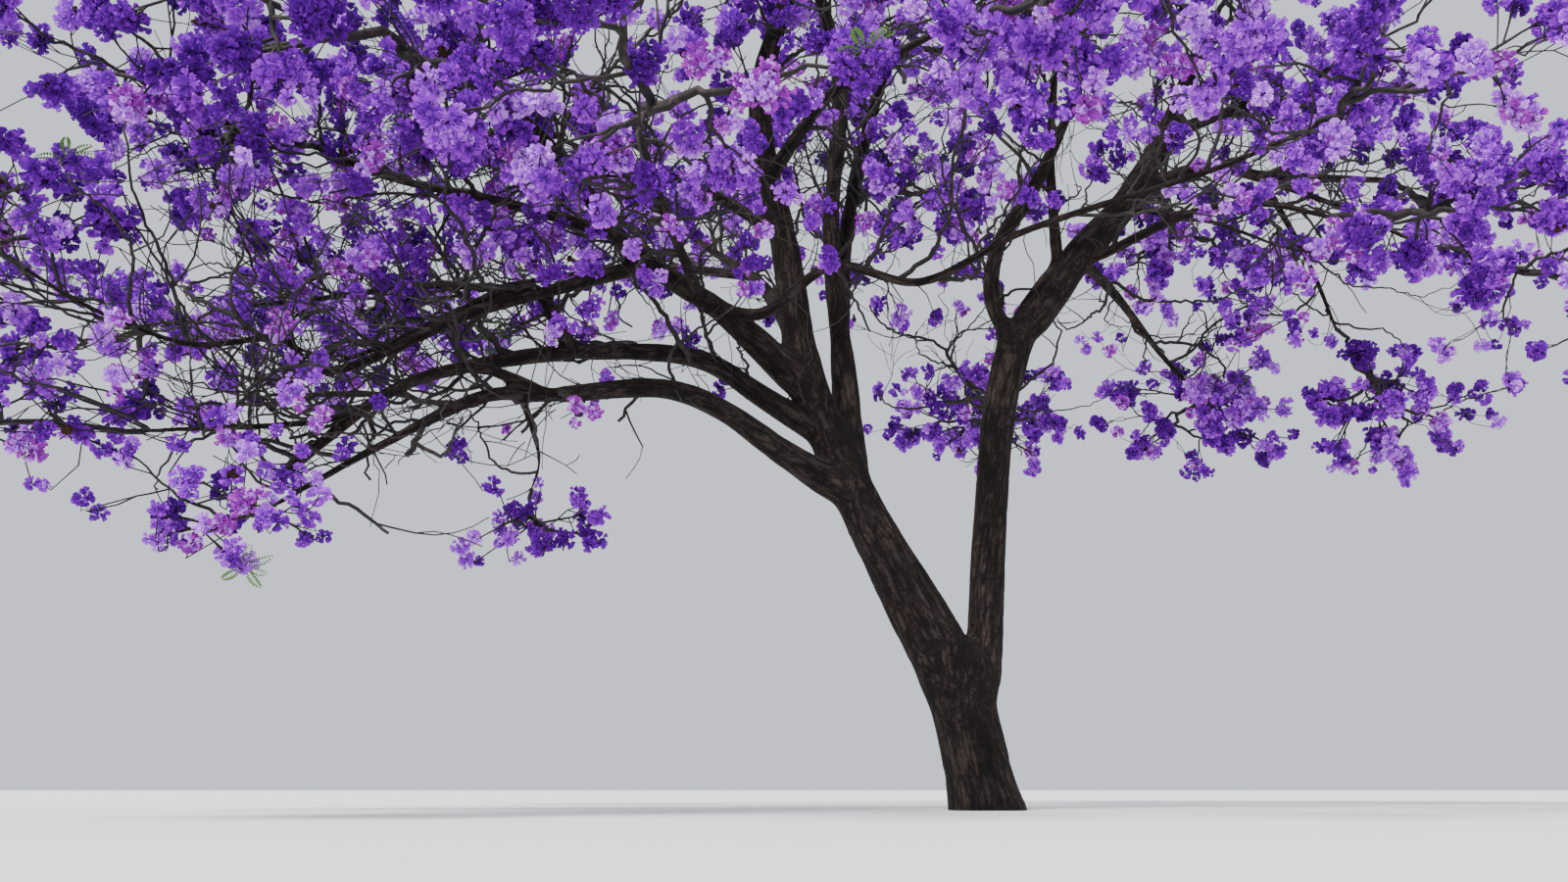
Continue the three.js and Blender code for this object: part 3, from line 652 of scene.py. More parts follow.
def bloom_at_tips(tips, bearers, stretches, numbers, panicles):
    """Panicles at some of the branches' tips, at more of those that lie within a mass."""
    middles = np.array([limb.middle for limb in bearers])
    halves = np.array([limb.half for limb in bearers])
    for point, way in tips:
        within = ((((point - middles) / halves) ** 2).sum(1) < 1.1).any()
        count = TIP_SIZES[int(numbers.integers(len(TIP_SIZES)))]
        outside = HIGH_TIPS_IN_BLOOM if point[2] > HIGH_UP else LOW_TIPS_IN_BLOOM
        if numbers.random() > (TIPS_IN_BLOOM if within else outside):
            continue
        if not within and not stretches.clear(point, BARE_ROUND_LIMBS):
            continue
        tone = numbers.random()
        for _ in range(count):
            offset = numbers.normal(size=3) * 0.5
            place = point + offset * PANICLE_SPACE * count ** (1 / 3) * (count > 1)
            if in_reach(place, BLOSSOM_MARGIN):
                panicles.append({"point": place, "axis": unit(way + offset + UP * 0.4),
                                 "size": 0.7 + 0.35 * numbers.random(),
                                 "tone": 0.6 * tone + 0.4 * numbers.random()})


def sample_path(path, spacing, numbers):
    """Points and radii along a smooth, slightly wandering line through a path. The path's first
    point only gives the direction that the line sets out in."""
    points = np.array([point for point, _ in path])
    radii = np.array([radius for _, radius in path])
    ends = np.vstack([points, 2 * points[-1] - points[-2]])
    line, widths = [], []
    for k in range(1, len(points) - 1):
        a, b, c, d = ends[k - 1:k + 3]
        length = norm(c - b)
        steps = max(1, math.ceil(length / spacing))
        t = (np.arange(steps) / steps)[:, None]
        leaving, arriving = (way / max(norm(way), 1e-6) * length for way in (c - a, d - b))
        sway = numbers.normal(size=(2, 3)) * length * WIGGLE
        line.append(smooth_line(b, c, leaving, arriving, t) + np.sin(math.pi * t) ** 2 * sway[0]
                    + np.sin(2 * math.pi * t) * sway[1] * 0.6)
        widths.append(between(radii[k:k + 2], t[:, 0]))
    line.append(points[-1:])
    widths.append(radii[-1:])
    return np.vstack(line), np.concatenate(widths)


def add_layer(mesh, name, values):
    """A number or a vector for each point of a mesh."""
    values = np.asarray(values, np.float32)
    kind, field = ("FLOAT", "value") if values.ndim == 1 else ("FLOAT_VECTOR", "vector")
    mesh.attributes.new(name, kind, "POINT").data.foreach_set(field, values.ravel())


def loose_mesh(name, points, edges, **layers):
    """A mesh of points without faces, with what each point carries."""
    mesh = bpy.data.meshes.new(name)
    mesh.vertices.add(len(points))
    mesh.vertices.foreach_set("co", np.asarray(points, np.float32).ravel())
    if len(edges):
        mesh.edges.add(len(edges))
        mesh.edges.foreach_set("vertices", np.asarray(edges, np.int32).ravel())
    for layer, values in layers.items():
        add_layer(mesh, layer, values)
    mesh.update()
    return mesh


def line_mesh(name, lines):
    """A mesh of loose edges along some lines, with each point's thickness."""
    counts = [len(line) for line, _ in lines]
    edges = [np.column_stack([np.arange(n - 1), np.arange(1, n)]) + first
             for first, n in zip(np.cumsum([0] + counts[:-1]), counts)]
    return loose_mesh(name, np.vstack([line for line, _ in lines]) * MM, np.vstack(edges),
                      thickness=np.concatenate([widths for _, widths in lines]) * MM)


def face_mesh(name, points, faces):
    mesh = bpy.data.meshes.new(name)
    faces = [list(map(int, face)) for face in faces]
    mesh.from_pydata(np.asarray(points, float).tolist(), [], faces)
    mesh.update()
    return mesh


def new_object(name, data):
    """A new object in the scene."""
    obj = bpy.data.objects.new(name, data)
    bpy.context.scene.collection.objects.link(obj)
    return obj


def feed(tree, node, inputs):
    """Sets a node's inputs to values, or links them to the outputs of other nodes."""
    for socket, value in inputs.items():
        if isinstance(value, bpy.types.NodeSocket):
            tree.links.new(value, node.inputs[socket])
        else:
            node.inputs[socket].default_value = value


def add(tree, kind, inputs=None, **settings):
    """Adds a node to a tree and gives its outputs."""
    node = tree.nodes.new(kind)
    for name, value in settings.items():
        setattr(node, name, value)
    feed(tree, node, inputs or {})
    return node.outputs


def maths(tree, operation, *values):
    return add(tree, "ShaderNodeMath", dict(enumerate(values)), operation=operation)[0]


def layer_of(tree, name, kind="FLOAT"):
    return add(tree, "GeometryNodeInputNamedAttribute", {"Name": name}, data_type=kind)["Attribute"]


def new_tree(name, **inputs):
    """A tree that takes a geometry, the named inputs and a material, and gives a geometry."""
    tree = bpy.data.node_groups.new(name, "GeometryNodeTree")
    inputs = {"Geometry": ("Geometry", None), **inputs, "Material": ("Material", None)}
    for title, (kind, value) in inputs.items():
        socket = tree.interface.new_socket(title, in_out="INPUT", socket_type="NodeSocket" + kind)
        if value is not None:
            socket.default_value = value
    tree.interface.new_socket("Geometry", in_out="OUTPUT", socket_type="NodeSocketGeometry")
    return tree, add(tree, "NodeGroupInput")


def end_tree(tree, given, geometry):
    """Ends a tree: what it made becomes real and takes the material."""
    real = add(tree, "GeometryNodeRealizeInstances", {"Geometry": geometry})
    painted = add(tree, "GeometryNodeSetMaterial", {"Geometry": real["Geometry"],
                                                    "Material": given["Material"]})
    add(tree, "NodeGroupOutput", {"Geometry": painted["Geometry"]})
    return tree


def wood_tree():
    """Turns lines into closed stems, as thick as each point says."""
    tree, given = new_tree("grow_stems", Sides=("Int", 3), Thickness=("Float", 1.0))
    radius = maths(tree, "MULTIPLY", layer_of(tree, "thickness"), given["Thickness"])
    curve = add(tree, "GeometryNodeMeshToCurve", {"Mesh": given["Geometry"]})
    curve = add(tree, "GeometryNodeSetCurveRadius", {"Curve": curve["Curve"], "Radius": radius})
    ring = add(tree, "GeometryNodeCurvePrimitiveCircle",
               {"Resolution": given["Sides"], "Radius": 1.0})
    sweep = add(tree, "GeometryNodeCurveToMesh", {
        "Curve": curve["Curve"], "Profile Curve": ring["Curve"], "Scale": radius,
        "Fill Caps": True})
    smooth = add(tree, "GeometryNodeSetShadeSmooth", {"Geometry": sweep["Mesh"]})
    return end_tree(tree, given, smooth["Geometry"])


def spray_tree():
    """Puts one of several shapes on each point, along its axis, turned at random round it."""
    tree, given = new_tree("place_sprays", Shapes=("Collection", None), Kinds=("Int", 4),
                           Scale=("Float", 1.0), Seed=("Int", 7))
    shapes = add(tree, "GeometryNodeCollectionInfo", {
        "Collection": given["Shapes"], "Separate Children": True, "Reset Children": True})
    axis = add(tree, "FunctionNodeAlignRotationToVector",
               {"Vector": layer_of(tree, "axis", "FLOAT_VECTOR")}, axis="Z")
    spin = add(tree, "FunctionNodeRandomValue", {3: 2 * math.pi, "Seed": given["Seed"]},
               data_type="FLOAT")
    turn = add(tree, "ShaderNodeCombineXYZ", {"Z": spin[1]})
    turn = add(tree, "FunctionNodeEulerToRotation", {0: turn[0]})
    turned = add(tree, "FunctionNodeRotateRotation", {0: axis[0], 1: turn[0]},
                 rotation_space="LOCAL")
    last = maths(tree, "SUBTRACT", given["Kinds"], 1)
    kind = add(tree, "FunctionNodeRandomValue", {"Seed": given["Seed"], 5: last}, data_type="INT")
    pick = maths(tree, "MULTIPLY_ADD", layer_of(tree, "layer"), given["Kinds"], kind[2])
    size = maths(tree, "MULTIPLY", layer_of(tree, "size"), given["Scale"])
    placed = add(tree, "GeometryNodeInstanceOnPoints", {
        "Points": given["Geometry"], "Instance": shapes[0], "Pick Instance": True,
        "Instance Index": pick, "Rotation": turned[0], "Scale": size})
    return end_tree(tree, given, placed["Instances"])


def grow_piece(name, tree, base, **settings):
    """Runs a tree on a base mesh and leaves a plain mesh of its result."""
    obj = new_object(name, base)
    modifier = obj.modifiers.new("grow", "NODES")
    modifier.node_group = tree
    for item in tree.interface.items_tree:
        if item.item_type == "SOCKET" and item.in_out == "INPUT" and item.name in settings:
            modifier[item.identifier] = settings[item.name]
    mesh = bpy.data.meshes.new_from_object(obj.evaluated_get(bpy.context.evaluated_depsgraph_get()))
    obj.modifiers.clear()
    obj.data = mesh
    mesh.name = name
    if signed_volume(mesh) < 0:
        mesh.flip_normals()
    return obj


def shapes_of(name, shapes):
    """A collection of the shapes that a tree picks from, outside the scene."""
    kinds = bpy.data.collections.new(name)
    for shape in shapes:
        kinds.objects.link(shape)
    return kinds


def clear_shapes(kinds):
    for shape in list(kinds.objects):
        bpy.data.objects.remove(shape)
    bpy.data.collections.remove(kinds)


def grow_sprays(name, tree, kinds, count, spots, seed, material):
    """One piece: a shape on each spot, which is its point, axis, size and layer."""
    places, axes, sizes, layers = zip(*spots)
    base = loose_mesh(name, np.array(places) * MM, (), axis=axes, size=sizes, layer=layers)
    return grow_piece(name, tree, base, Shapes=kinds, Kinds=count, Scale=1.0, Seed=seed,
                      Material=material)


def read_vectors(mesh, field):
    """Every point's place or normal."""
    vectors = np.empty(len(mesh.vertices) * 3, np.float32)
    mesh.vertices.foreach_get(field, vectors)
    return vectors.reshape(-1, 3).astype(float)


def signed_volume(mesh):
    mesh.calc_loop_triangles()
    triangles = np.empty(len(mesh.loop_triangles) * 3, np.int32)
    mesh.loop_triangles.foreach_get("vertices", triangles)
    a, b, c = read_vectors(mesh, "co")[triangles.reshape(-1, 3).T]
    return float((a * np.cross(b, c)).sum())


def trumpet(length, mouth, turn):
    """One flower: five petals, each a face that widens from the stalk to a slanting lip."""
    points, faces = [(0, 0, 0)], []
    for k in range(PETALS):
        for side, width, height in ((-0.5, 1.12, 0.9), (0.55, 0.85, 1.08)):
            angle = turn + (k + side) * 2 * math.pi / PETALS
            points.append((math.cos(angle) * mouth * width, math.sin(angle) * mouth * width,
                           length * height))
        faces.append((0, 2 * k + 2, 2 * k + 1))
    return np.array(points), np.array(faces)


def turn_to(points, direction, spin):
    """Points turned so that +Z lies along a direction."""
    up = unit(direction)
    side = unit(np.cross(up, [math.cos(spin), math.sin(spin), 0.31]))
    return points @ np.array([side, np.cross(up, side), up])


def shape(name, points, faces):
    return bpy.data.objects.new(name, face_mesh(name, points, faces))


def panicle(name, count, size, deep, stretch, numbers):
    """Flowers that look outwards all round, in a puff that is longer than it is wide."""
    points, faces = [], []
    for k in range(count):
        climb = 1 - 2 * (k + 0.5) / count
        turn = k * GOLDEN_TURN + deep
        level = math.sqrt(1 - climb * climb)
        way = np.array([math.cos(turn) * level, math.sin(turn) * level, climb])
        way = unit(way + numbers.normal(size=3) * 0.3)
        reach = PANICLE_RADIUS * (0.62 + 0.55 * numbers.random() - 0.2 * deep)
        length = size * (0.75 + 0.45 * numbers.random() + 0.2 * deep)
        narrow = 1 - 0.25 * stretch * max(climb, 0)
        place = way * max(reach - length, 0.01) * (narrow, narrow, stretch)
        flower, flower_faces = trumpet(length, length * 0.44, turn)
        faces.append(flower_faces + sum(len(group) for group in points))
        points.append(turn_to(flower, way + numbers.normal(size=3) * 0.3, turn) + place)
    return shape(name, np.vstack(points), np.vstack(faces))


def pod_cluster(name, numbers):
    """A few round flat woody pods, each a shallow lens, hung close together."""
    rim_points, lens_points = 7, 9
    turns = np.arange(rim_points) * 2 * math.pi / rim_points
    rim = np.column_stack([np.cos(turns) * 0.048, np.sin(turns) * 0.042, np.zeros(rim_points)])
    lens = np.vstack([rim, [0, 0, 0.013], [0, 0, -0.013]])
    points, faces = [], []
    for pod in range(3):
        place = numbers.normal(size=3) * 0.026
        first = lens_points * pod
        for k in range(rim_points):
            here, following = first + k, first + (k + 1) % rim_points
            faces += [(here, following, first + 7), (following, here, first + 8)]
        points.append(turn_to(lens, numbers.normal(size=3), 1.0) + place)
    return shape(name, np.vstack(points), faces)


def leaf_tuft(name, numbers):
    """Young leaves: feathery fronds of small leaflets in pairs, spread from one bud."""
    points, faces = [], []
    for k in range(7):
        turn = k * GOLDEN_TURN
        way = unit(np.array([math.cos(turn), math.sin(turn), 0.2 + 0.8 * numbers.random()]))
        side = unit(np.cross(way, UP))
        for pair in range(9):
            at = way * (0.05 + 0.03 * pair) - UP * 0.0016 * pair ** 2
            size = 0.058 * math.sin(0.5 + pair * 0.28)
            for hand in (-1, 1):
                first = len(points)
                points += [at, at + side * hand * size + way * 0.006,
                           at + side * hand * size * 0.6 + way * 0.03]
                face = first, first + 1, first + 2
                faces.append(face if hand > 0 else (first, first + 2, first + 1))
    return shape(name, points, faces)


NOISE = np.random.default_rng(NOISE_SEED).random(4096)


def smooth_noise(points, seed):
    """Smooth numbers from -1 to 1 over space."""
    cell = np.floor(points).astype(np.int64)
    part = points - cell
    part = part * part * (3 - 2 * part)
    total = np.zeros(len(points))
    for corner in np.ndindex(2, 2, 2):
        x, y, z = (cell + corner).T
        key = (x * 73856093 ^ y * 19349663 ^ z * 83492791 ^ seed * 2654435761) & len(NOISE) - 1
        total += np.prod(np.where(corner, part, 1 - part), axis=1) * NOISE[key]
    return total * 2 - 1


def limb_frames(limb, spacing):
    """Evenly spaced places along a limb, each with its direction and two directions across it."""
    steps = max(4, math.ceil(limb.length / spacing))
    shares = np.linspace(0, 1, steps + 1)
    places, ahead = limb.at(shares), limb.direction(shares)
    side = np.array([1.0, 0, 0]) if abs(ahead[0][2]) > abs(ahead[0][0]) else UP
    sides = []
    for way in ahead:
        side = unit(side - way * (side @ way))
        sides.append(side)
    sides = np.array(sides)
    return shares, places, ahead, sides, np.cross(sides, ahead)


def limb_tube(limb, numbers):
    """A limb's rough shape: a closed tube that swells a little, flared at the roots."""
    shares, places, ahead, sides, ups = limb_frames(limb, 70)
    radius = limb.radius(shares)
    along = shares * limb.length
    seed = int(numbers.integers(1000))
    swell = smooth_noise(np.column_stack([along / 620, along * 0 + seed, along * 0]), 3)
    count = TUBE_SIDES
    turns = np.arange(count) * 2 * math.pi / count
    if limb.parent:
        swelling = QUICK_IN.get(limb.name, TAPER_IN) * radius
        radius = radius * np.sqrt(np.clip(0.2 + along / swelling, 0, 1))
    ring = radius[:, None] * (1 + 0.05 * swell[:, None]) * np.ones(count)
    across = np.column_stack([np.cos(turns), np.sin(turns)])
    lobes = np.array([smooth_noise(np.column_stack([across * 1.5 + seed, np.full(count, rise)]), 5)
                      for rise in along / 1900])
    ring *= 1 + 0.055 * lobes * np.minimum(radius / 250, 1)[:, None]
    if not limb.parent:
        fade = np.exp(-np.maximum(places[:, 2], 0) / FLARE_HEIGHT)[:, None]
        ribs = smooth_noise(np.column_stack([across * 2.3, np.zeros(count)]), 8)
        ring *= 1 + fade * (0.3 + 0.12 * ribs + 0.08 * np.cos(turns))
        # The valley between the two stems runs on down the trunk, in front and behind
        off = np.minimum(np.abs(turns - VALLEY_TURN), np.abs(turns - (2 * math.pi - VALLEY_TURN)))
        depth = VALLEY_DEPTH * (0.5 + 0.5 * shares[:, None])
        ring *= 1 - depth * np.exp(-(off / VALLEY_WIDTH) ** 2)
    tube = (places[:, None] + sides[:, None] * (np.cos(turns) * ring)[..., None]
            + ups[:, None] * (np.sin(turns) * ring)[..., None]).reshape(-1, 3)
    blunt = 0.6 if limb.parent else 0.2
    points = np.vstack([tube, places[0] - ahead[0] * radius[0] * 0.2,
                        places[-1] + ahead[-1] * radius[-1] * blunt]) * MM
    first, k = len(tube), np.arange(count)
    n, top = (k + 1) % count, first - count
    row = np.arange(0, top, count)[:, None]
    quads = np.stack([row + k, row + count + k, row + count + n, row + n], axis=2).reshape(-1, 4)
    low = np.column_stack([np.full(count, first), k, n])
    high = np.column_stack([np.full(count, first + 1), top + n, top + k])
    return points, quads.tolist() + low.tolist() + high.tolist()


def joined_wood(limbs):
    """All the limbs in one rough mesh, blended where they meet."""
    numbers = np.random.default_rng(WOOD_SEED)
    points, faces, count = [], [], 0
    for limb in limbs.values():
        tube, tube_faces = limb_tube(limb, numbers)
        points.append(tube)
        faces.extend([[corner + count for corner in face] for face in tube_faces])
        count += len(tube)
    obj = new_object("rough_wood", face_mesh("rough_wood", np.vstack(points), faces))
    remesh = obj.modifiers.new("blend", "REMESH")
    remesh.mode = "VOXEL"
    remesh.voxel_size = WOOD_GRAIN
    smooth = obj.modifiers.new("soften", "SMOOTH")
    smooth.factor = 0.5
    smooth.iterations = 9
    made = bpy.data.meshes.new_from_object(obj.evaluated_get(bpy.context.evaluated_depsgraph_get()))
    bpy.data.objects.remove(obj)
    return made


def along_limbs(points, limbs):
    """For each point on the wood: its limb, how far along it lies, the direction round it, the
    limb's radius there, and how near it is to the join with another limb."""
    samples = []
    for number, limb in enumerate(limbs.values()):
        shares, *frames = limb_frames(limb, 80)
        samples.append(np.column_stack([np.full(len(shares), number), shares * limb.length,
                                        limb.radius(shares), *frames]))
    samples = np.vstack(samples)
    search = KDTree(len(samples))
    for k, sample in enumerate(samples):
        search.insert(sample[3:6], k)
    search.balance()
    near = np.array([[hit[1] for hit in search.find_n(point, NEAR_SAMPLES)] for point in points])
    found = samples[near]
    offsets = points[:, None] - found[:, :, 3:6]
    share = norm(offsets, axis=2) / found[:, :, 2]
    rows, best = np.arange(len(points)), np.argmin(share, axis=1)
    own, offset = found[rows, best], offsets[rows, best]
    other = np.where(found[:, :, 0] == own[:, :1], np.inf, share).min(1)
    along, across, up = ((offset * own[:, k:k + 3]).sum(1) for k in (6, 9, 12))
    return (own[:, 0].astype(int), own[:, 1] + along, np.arctan2(up, across), own[:, 2],
            other - share[rows, best])


def bark_height(points, number, along, turn, radius, apart):
    """How far the bark stands out, from 0 in a fissure to 1 on a ridge, and its grain's places."""
    grain = np.column_stack([np.cos(turn) * radius, np.sin(turn) * radius, along]) * MM
    grain[:, 2] += number * 17.3

    def plates(places):
        warp = np.column_stack([smooth_noise(places * (5, 5, 2.5), 21),
                                smooth_noise(places * (5, 5, 2.5), 22), 0 * along]) * 0.06
        broken = smooth_noise((places + warp) * (10, 10, 1.7), 23)
        ridges = smooth_noise((places + warp) * (4.5, 4.5, 0.8), 24)
        cracks = smooth_noise((places + warp) * (3.5, 3.5, 8), 25)
        return (0.55 * np.clip(np.abs(broken) * 2.4, 0, 1) + 0.25 * (0.5 + 0.5 * ridges)
                + 0.2 * np.clip(np.abs(cracks) * 5, 0, 1))

    return apart * plates(grain) + (1 - apart) * plates(points), grain


def face_edges(faces):
    return np.stack([faces, np.roll(faces, -1, axis=1)], axis=2).reshape(-1, 2)


def soften_joins(points, faces, apart, radius):
    """Rounds the wood off where limbs meet, the more so on the thick ones."""
    edges = np.unique(np.sort(face_edges(faces)), axis=0)
    ends = np.concatenate([edges[:, 0], edges[:, 1]])
    others = np.concatenate([edges[:, 1], edges[:, 0]])
    counts = np.maximum(np.bincount(ends, minlength=len(points)), 1)
    weight = (0.6 * np.clip(1.15 - apart, 0, 1) ** 0.5 * np.clip(radius / 260, 0, 1))[:, None]
    for _ in range(JOIN_ROUNDS):
        sums = [np.bincount(ends, points[others, k], len(points)) for k in range(3)]
        points = points + (np.column_stack(sums) / counts[:, None] - points) * weight
    return points


def close_foot(points, faces):
    """Closes the flat cut at the ground with a fan of faces round its middle."""
    edges = face_edges(faces)
    keys = np.sort(edges, axis=1) @ (len(points), 1)
    _, first, counts = np.unique(keys, return_index=True, return_counts=True)
    rim = edges[first[counts == 1]]
    cap = np.column_stack([rim[:, 1], rim[:, 0], np.full(len(rim), len(points))])
    return np.vstack([points, points[rim[:, 0]].mean(0)]), cap


def bark_pieces(limbs, groups, material):
    """The wood with its bark's relief, in pieces: each is a group of limbs."""
    wood = joined_wood(limbs)
    points, normals = read_vectors(wood, "co"), read_vectors(wood, "normal")
    number, along, turn, radius, apart = along_limbs(points * 1000, limbs)
    faces = np.array([list(face.vertices) for face in wood.polygons])
    points = soften_joins(points, faces, np.clip(apart / 0.9, 0, 1), radius)
    apart = np.clip(apart / 0.35, 0, 1)
    height, grain = bark_height(points, number, along, turn, radius, apart)
    # The trunk's valley in front and behind is lowered in the relief. This sinks it a little and
    # also darkens it in the bark's colour as painted shade
    valley = np.exp(-((np.abs(turn) - VALLEY_TURN) / VALLEY_WIDTH) ** 2)
    height = height - np.where(number == 0, 0.5 * apart * valley, 0)
    depth = np.clip(radius * 0.055, 3, 24) * MM
    points += normals * ((height - 0.6) * depth * (0.4 + 0.6 * apart))[:, None]
    faces = faces[points[faces][:, :, 2].max(1) > 0]
    points[:, 2] = np.maximum(points[:, 2], 0)
    points, cap = close_foot(points, faces)
    layers = {"grain": np.vstack([grain, grain[:1]]), "relief": np.append(height, 0.5),
              "apart": np.append(apart, 1)}
    group_of = np.array([next(k for k, (_, members) in enumerate(groups) if name in members)
                         for name in limbs])
    owner = group_of[number[faces[:, 0]]]
    pieces = []
    for k, (name, _) in enumerate(groups):
        own_faces = faces[owner == k].tolist() + (cap.tolist() if k == 0 else [])
        used = np.unique(np.concatenate(own_faces))
        renamed = {corner: place for place, corner in enumerate(used.tolist())}
        mesh = face_mesh(name, points[used], [[renamed[c] for c in face] for face in own_faces])
        for layer, values in layers.items():
            add_layer(mesh, layer, values[used])
        mesh.shade_smooth()
        mesh.materials.append(material)
        pieces.append(new_object(name, mesh))
    return pieces


def new_material(name):
    material = bpy.data.materials.new(name)
    material.use_nodes = True
    return material, material.node_tree, material.node_tree.nodes["Principled BSDF"]


def ramp(tree, value, stops):
    """A colour that goes through some stops as a value grows."""
    node = tree.nodes.new("ShaderNodeValToRGB")
    tree.links.new(value, node.inputs["Fac"])
    elements = node.color_ramp.elements
    for element, (place, colour) in zip(elements, (stops[0], stops[-1])):
        element.position, element.color = place, (*colour, 1)
    for place, colour in stops[1:-1]:
        elements.new(place).color = (*colour, 1)
    return node.outputs["Color"]


def noise(tree, vector, scale, detail, stretch=1, roughness=0.5):
    stretched = add(tree, "ShaderNodeMapping", {"Vector": vector, "Scale": (1, 1, stretch)})
    return add(tree, "ShaderNodeTexNoise", {"Vector": stretched["Vector"], "Scale": scale,
                                            "Detail": detail, "Roughness": roughness})["Fac"]


def bumps(tree, height, strength, distance):
    return add(tree, "ShaderNodeBump", {"Height": height, "Strength": strength,
                                        "Distance": distance})["Normal"]


def bark_material():
    """Dark fissured bark, greyer on its ridges, with fine grain that runs along the limb."""
    material, tree, shader = new_material("bark")
    grain, relief, apart = (add(tree, "ShaderNodeAttribute", attribute_name=name)
                            for name in ("grain", "relief", "apart"))
    place = add(tree, "ShaderNodeTexCoord")["Object"]

    def both(scale, stretch, detail):
        """Noise along the limb, which fades at a join into noise that takes no notice of limbs."""
        return add(tree, "ShaderNodeMix", {
            "Factor": apart["Fac"], "A": noise(tree, place, scale, detail, 0.5, 0.6),
            "B": noise(tree, grain["Vector"], scale, detail, stretch, 0.6)})["Result"]

    def lines(scale, stretch, sharpness):
        """0 along thin lines through the noise, and 1 away from them."""
        off = maths(tree, "ABSOLUTE", maths(tree, "SUBTRACT", both(scale, stretch, 3), 0.5))
        return maths(tree, "MINIMUM", maths(tree, "MULTIPLY", off, sharpness), 1.0)

    height = maths(tree, "MULTIPLY", lines(11, 0.2, 9.0), 0.3)
    # The relief layer brings the bark's plates, and also the painted shade in the trunk's valley
    layers = (relief["Fac"], 0.45), (both(42, 0.45, 6), 0.4), (lines(8, 2.4, 16.0), 0.14)
    for layer, share in layers:
        height = maths(tree, "MULTIPLY_ADD", layer, share, height)
    tone = ramp(tree, height, [(0.3, (0.0014, 0.001, 0.0009)), (0.58, (0.0055, 0.0036, 0.0031)),
                               (0.78, (0.012, 0.0082, 0.007)), (1.0, (0.035, 0.0265, 0.023))])
    patch = ramp(tree, noise(tree, place, 1.3, 4, 1, 0.6),
                 [(0.35, (0.7, 0.68, 0.66)), (0.65, (1.35, 1.3, 1.28))])
    tint = add(tree, "ShaderNodeMix", {"Factor": 1, "A": tone, "B": patch}, data_type="RGBA",
               blend_type="MULTIPLY")
    feed(tree, shader, {"Roughness": 0.92, "Specular IOR Level": 0.2, "Base Color": tint["Result"],
                        "Normal": bumps(tree, height, 0.8, 0.02)})
    return material


def twig_material():
    """Dark twig bark with lighter patches and fine wrinkles."""
    material, tree, shader = new_material("twig_bark")
    place = add(tree, "ShaderNodeTexCoord")["Object"]
    tone = ramp(tree, noise(tree, place, 9, 4), [
        (0.35, (0.004, 0.0028, 0.0025)), (0.55, (0.012, 0.0085, 0.0072)),
        (0.75, (0.045, 0.034, 0.03))])
    feed(tree, shader, {"Roughness": 0.85, "Base Color": tone,
                        "Normal": bumps(tree, noise(tree, place, 38, 5), 0.7, 0.012)})
    return material


def plain_material(name, colour, roughness=0.75):
    material, tree, shader = new_material(name)
    feed(tree, shader, {"Roughness": roughness, "Base Color": (*colour, 1),
                        "Specular IOR Level": 0.06})
    return material


def add_camera():
    camera = new_object("camera", bpy.data.cameras.new("camera"))
    camera.location = CAMERA_PLACE
    camera.rotation_euler = (math.radians(90 + CAMERA_PITCH), 0, 0)
    camera.data.lens = CAMERA_LENS
    camera.data.sensor_width = 36
    camera.data.clip_end = 1000
    bpy.context.scene.camera = camera


def add_studio():
    """A wide pale floor, a pale surround and soft light from above."""
    corners = [(x * FLOOR_HALF, y * FLOOR_HALF, 0) for x, y in ((-1, -1), (1, -1), (1, 1), (-1, 1))]
    floor = new_object("floor", face_mesh("floor", corners, [(0, 1, 2, 3)]))
    floor.data.materials.append(plain_material("floor", (0.8, 0.8, 0.8), 0.9))
    world = bpy.data.worlds.new("surround")
    bpy.context.scene.world = world
    world.use_nodes = True
    feed(world.node_tree, world.node_tree.nodes["Background"],
         {"Color": (0.86, 0.91, 1, 1), "Strength": 1.0})
    sun = new_object("soft_light", bpy.data.lights.new("soft_light", "SUN"))
    sun.data.energy = SUN_STRENGTH
    sun.data.angle = math.radians(18)
    sun.data.color = (1, 0.97, 0.93)
    sun.rotation_euler = (math.radians(42), 0, math.radians(-35))


add_camera()
add_studio()
bark = bark_material()
twig_bark = twig_material()
limbs = grow_limbs(LIMBS)
spurs = grow_limbs(LIMBS + SPURS)
stretches = Stretches(limbs.values())
bearers = [limb for limb in limbs.values() if limb.mass]
masses = [limb.mass for limb in bearers]

grouped = {name for _, members in GROUPS for name in members}
groups = GROUPS + [(REST, [name for name in spurs if name not in grouped])]
for piece, (_, members) in zip(bark_pieces(spurs, groups, bark), groups):
    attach(piece, "root")
    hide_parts(*[name for name in members if name in limbs])

twigs, panicles, tips = [], [], []
for number, limb in enumerate(bearers):
    grow_mass(number, limb, bearers, stretches, twigs, panicles)

numbers, fan_numbers = np.random.default_rng(WANDER_SEED), np.random.default_rng(FAN_SEED)
grow_branches(spurs, BRANCHES, BRANCH_LENGTH, BRANCH_RADIUS, 0, numbers, twigs, tips)
grow_branches(spurs, SMALL_TWIGS, SMALL_LENGTH, SMALL_RADIUS, 1, numbers, twigs, tips)
for often, spread, names in FANS:
    fan_out(spurs, often, spread, names, fan_numbers, twigs, tips)
hang_stems(spurs, np.random.default_rng(HANG_SEED), twigs)
bloom_at_tips(tips, bearers, stretches, numbers, panicles)

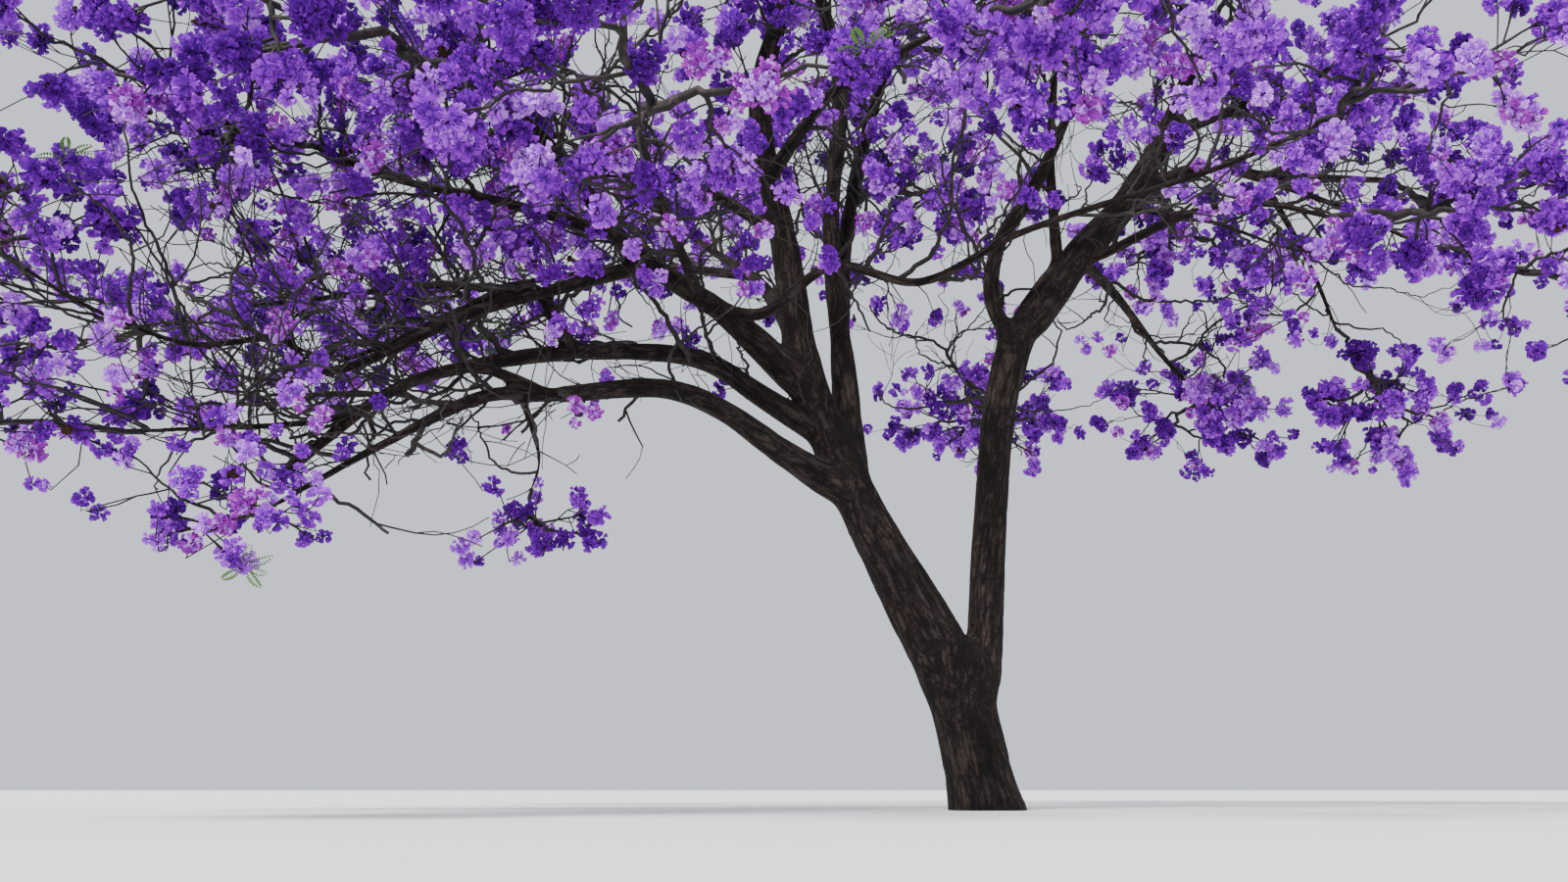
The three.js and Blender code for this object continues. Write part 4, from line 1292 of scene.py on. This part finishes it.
stout = [path for path in twigs if path[1][1] > STOUT_TWIG]
fine = [path for path in twigs if path[1][1] <= STOUT_TWIG]
half = len(fine) // 2
stems = wood_tree()
for name, paths, sides, spacing in (("branches", stout, BRANCH_SIDES, BRANCH_SPACING),
                                    ("twigs_a", fine[:half], TWIG_SIDES, TWIG_SPACING),
                                    ("twigs_b", fine[half:], TWIG_SIDES, TWIG_SPACING)):
    lines = [sample_path(path, spacing, numbers) for path in paths]
    piece = grow_piece(name, stems, line_mesh(name, lines), Sides=sides, Thickness=1.0,
                       Material=twig_bark)
    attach(piece, "root")

shapes = []
for _, (outer, inner, size) in FLOWERS:
    for deep, count in enumerate((outer, inner)):
        for stretch in np.linspace(1.0, LONGEST_PUFF, KINDS):
            name = f"{len(shapes):02d}_flowers"
            shapes.append(panicle(name, count, size, deep, stretch, numbers))
kinds = shapes_of("panicle_kinds", shapes)
tones = np.array([end["tone"] for end in panicles])
order = np.argsort(np.argsort(tones, kind="stable"), kind="stable") / len(tones)
limits = np.cumsum([share for _, share, _ in SHADES])
shade = np.searchsorted(limits, order, side="right").clip(0, len(SHADES) - 1)
sprays = spray_tree()
spots = [[] for _ in SHADES]
for end, own in zip(panicles, shade):
    away = norm(end["point"] * MM - CAMERA_PLACE)
    far = next(row for row, (limit, _) in enumerate(FLOWERS) if away < limit)
    height = min(max(end["point"][2] - SMALL_BELOW, 0) / (LARGE_ABOVE - SMALL_BELOW), 1)
    size = end["size"] * (0.8 + 0.3 * height)
    # The flowers behind a panicle's outer ones go into the next darker colour: painted shade inside
    # the puff
    for deep in (0, 1):
        spots[max(own - deep, 0)].append((end["point"], end["axis"], size, deep + 2 * far))
for k, (name, _, colour) in enumerate(SHADES):
    piece = grow_sprays("blossom_" + name, sprays, kinds, KINDS, spots[k], 11 + k,
                        plain_material(name, colour))
    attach(piece, "root")
    if k == 0:
        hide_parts(*masses)
clear_shapes(kinds)

chosen = [panicles[k] for k in numbers.permutation(len(panicles))]
for name, make, slot, ends, back, sway, seed, material in (
        ("seed_pods", pod_cluster, "bark", chosen[:PODS], 60, 45, 31,
         plain_material("pod_husk", (0.035, 0.018, 0.011), 0.8)),
        ("leaves", leaf_tuft, "blossom", chosen[PODS:PODS + LEAF_TUFTS], 100, 0, 32,
         plain_material("leaf", (0.08, 0.19, 0.02), 0.6))):
    kinds = shapes_of(name + "_kinds", [make(f"{name}_{k}", numbers) for k in range(SPARE_KINDS)])
    spots = []
    for end in ends:
        place = end["point"] - end["axis"] * back
        if sway:
            place = place + numbers.normal(size=3) * sway
        axis = UP if sway else end["axis"]
        spots.append((place, axis, 0.8 + 0.5 * numbers.random(), 0))
    piece = grow_sprays(name, sprays, kinds, SPARE_KINDS, spots, seed, material)
    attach(piece, "root")
    clear_shapes(kinds)
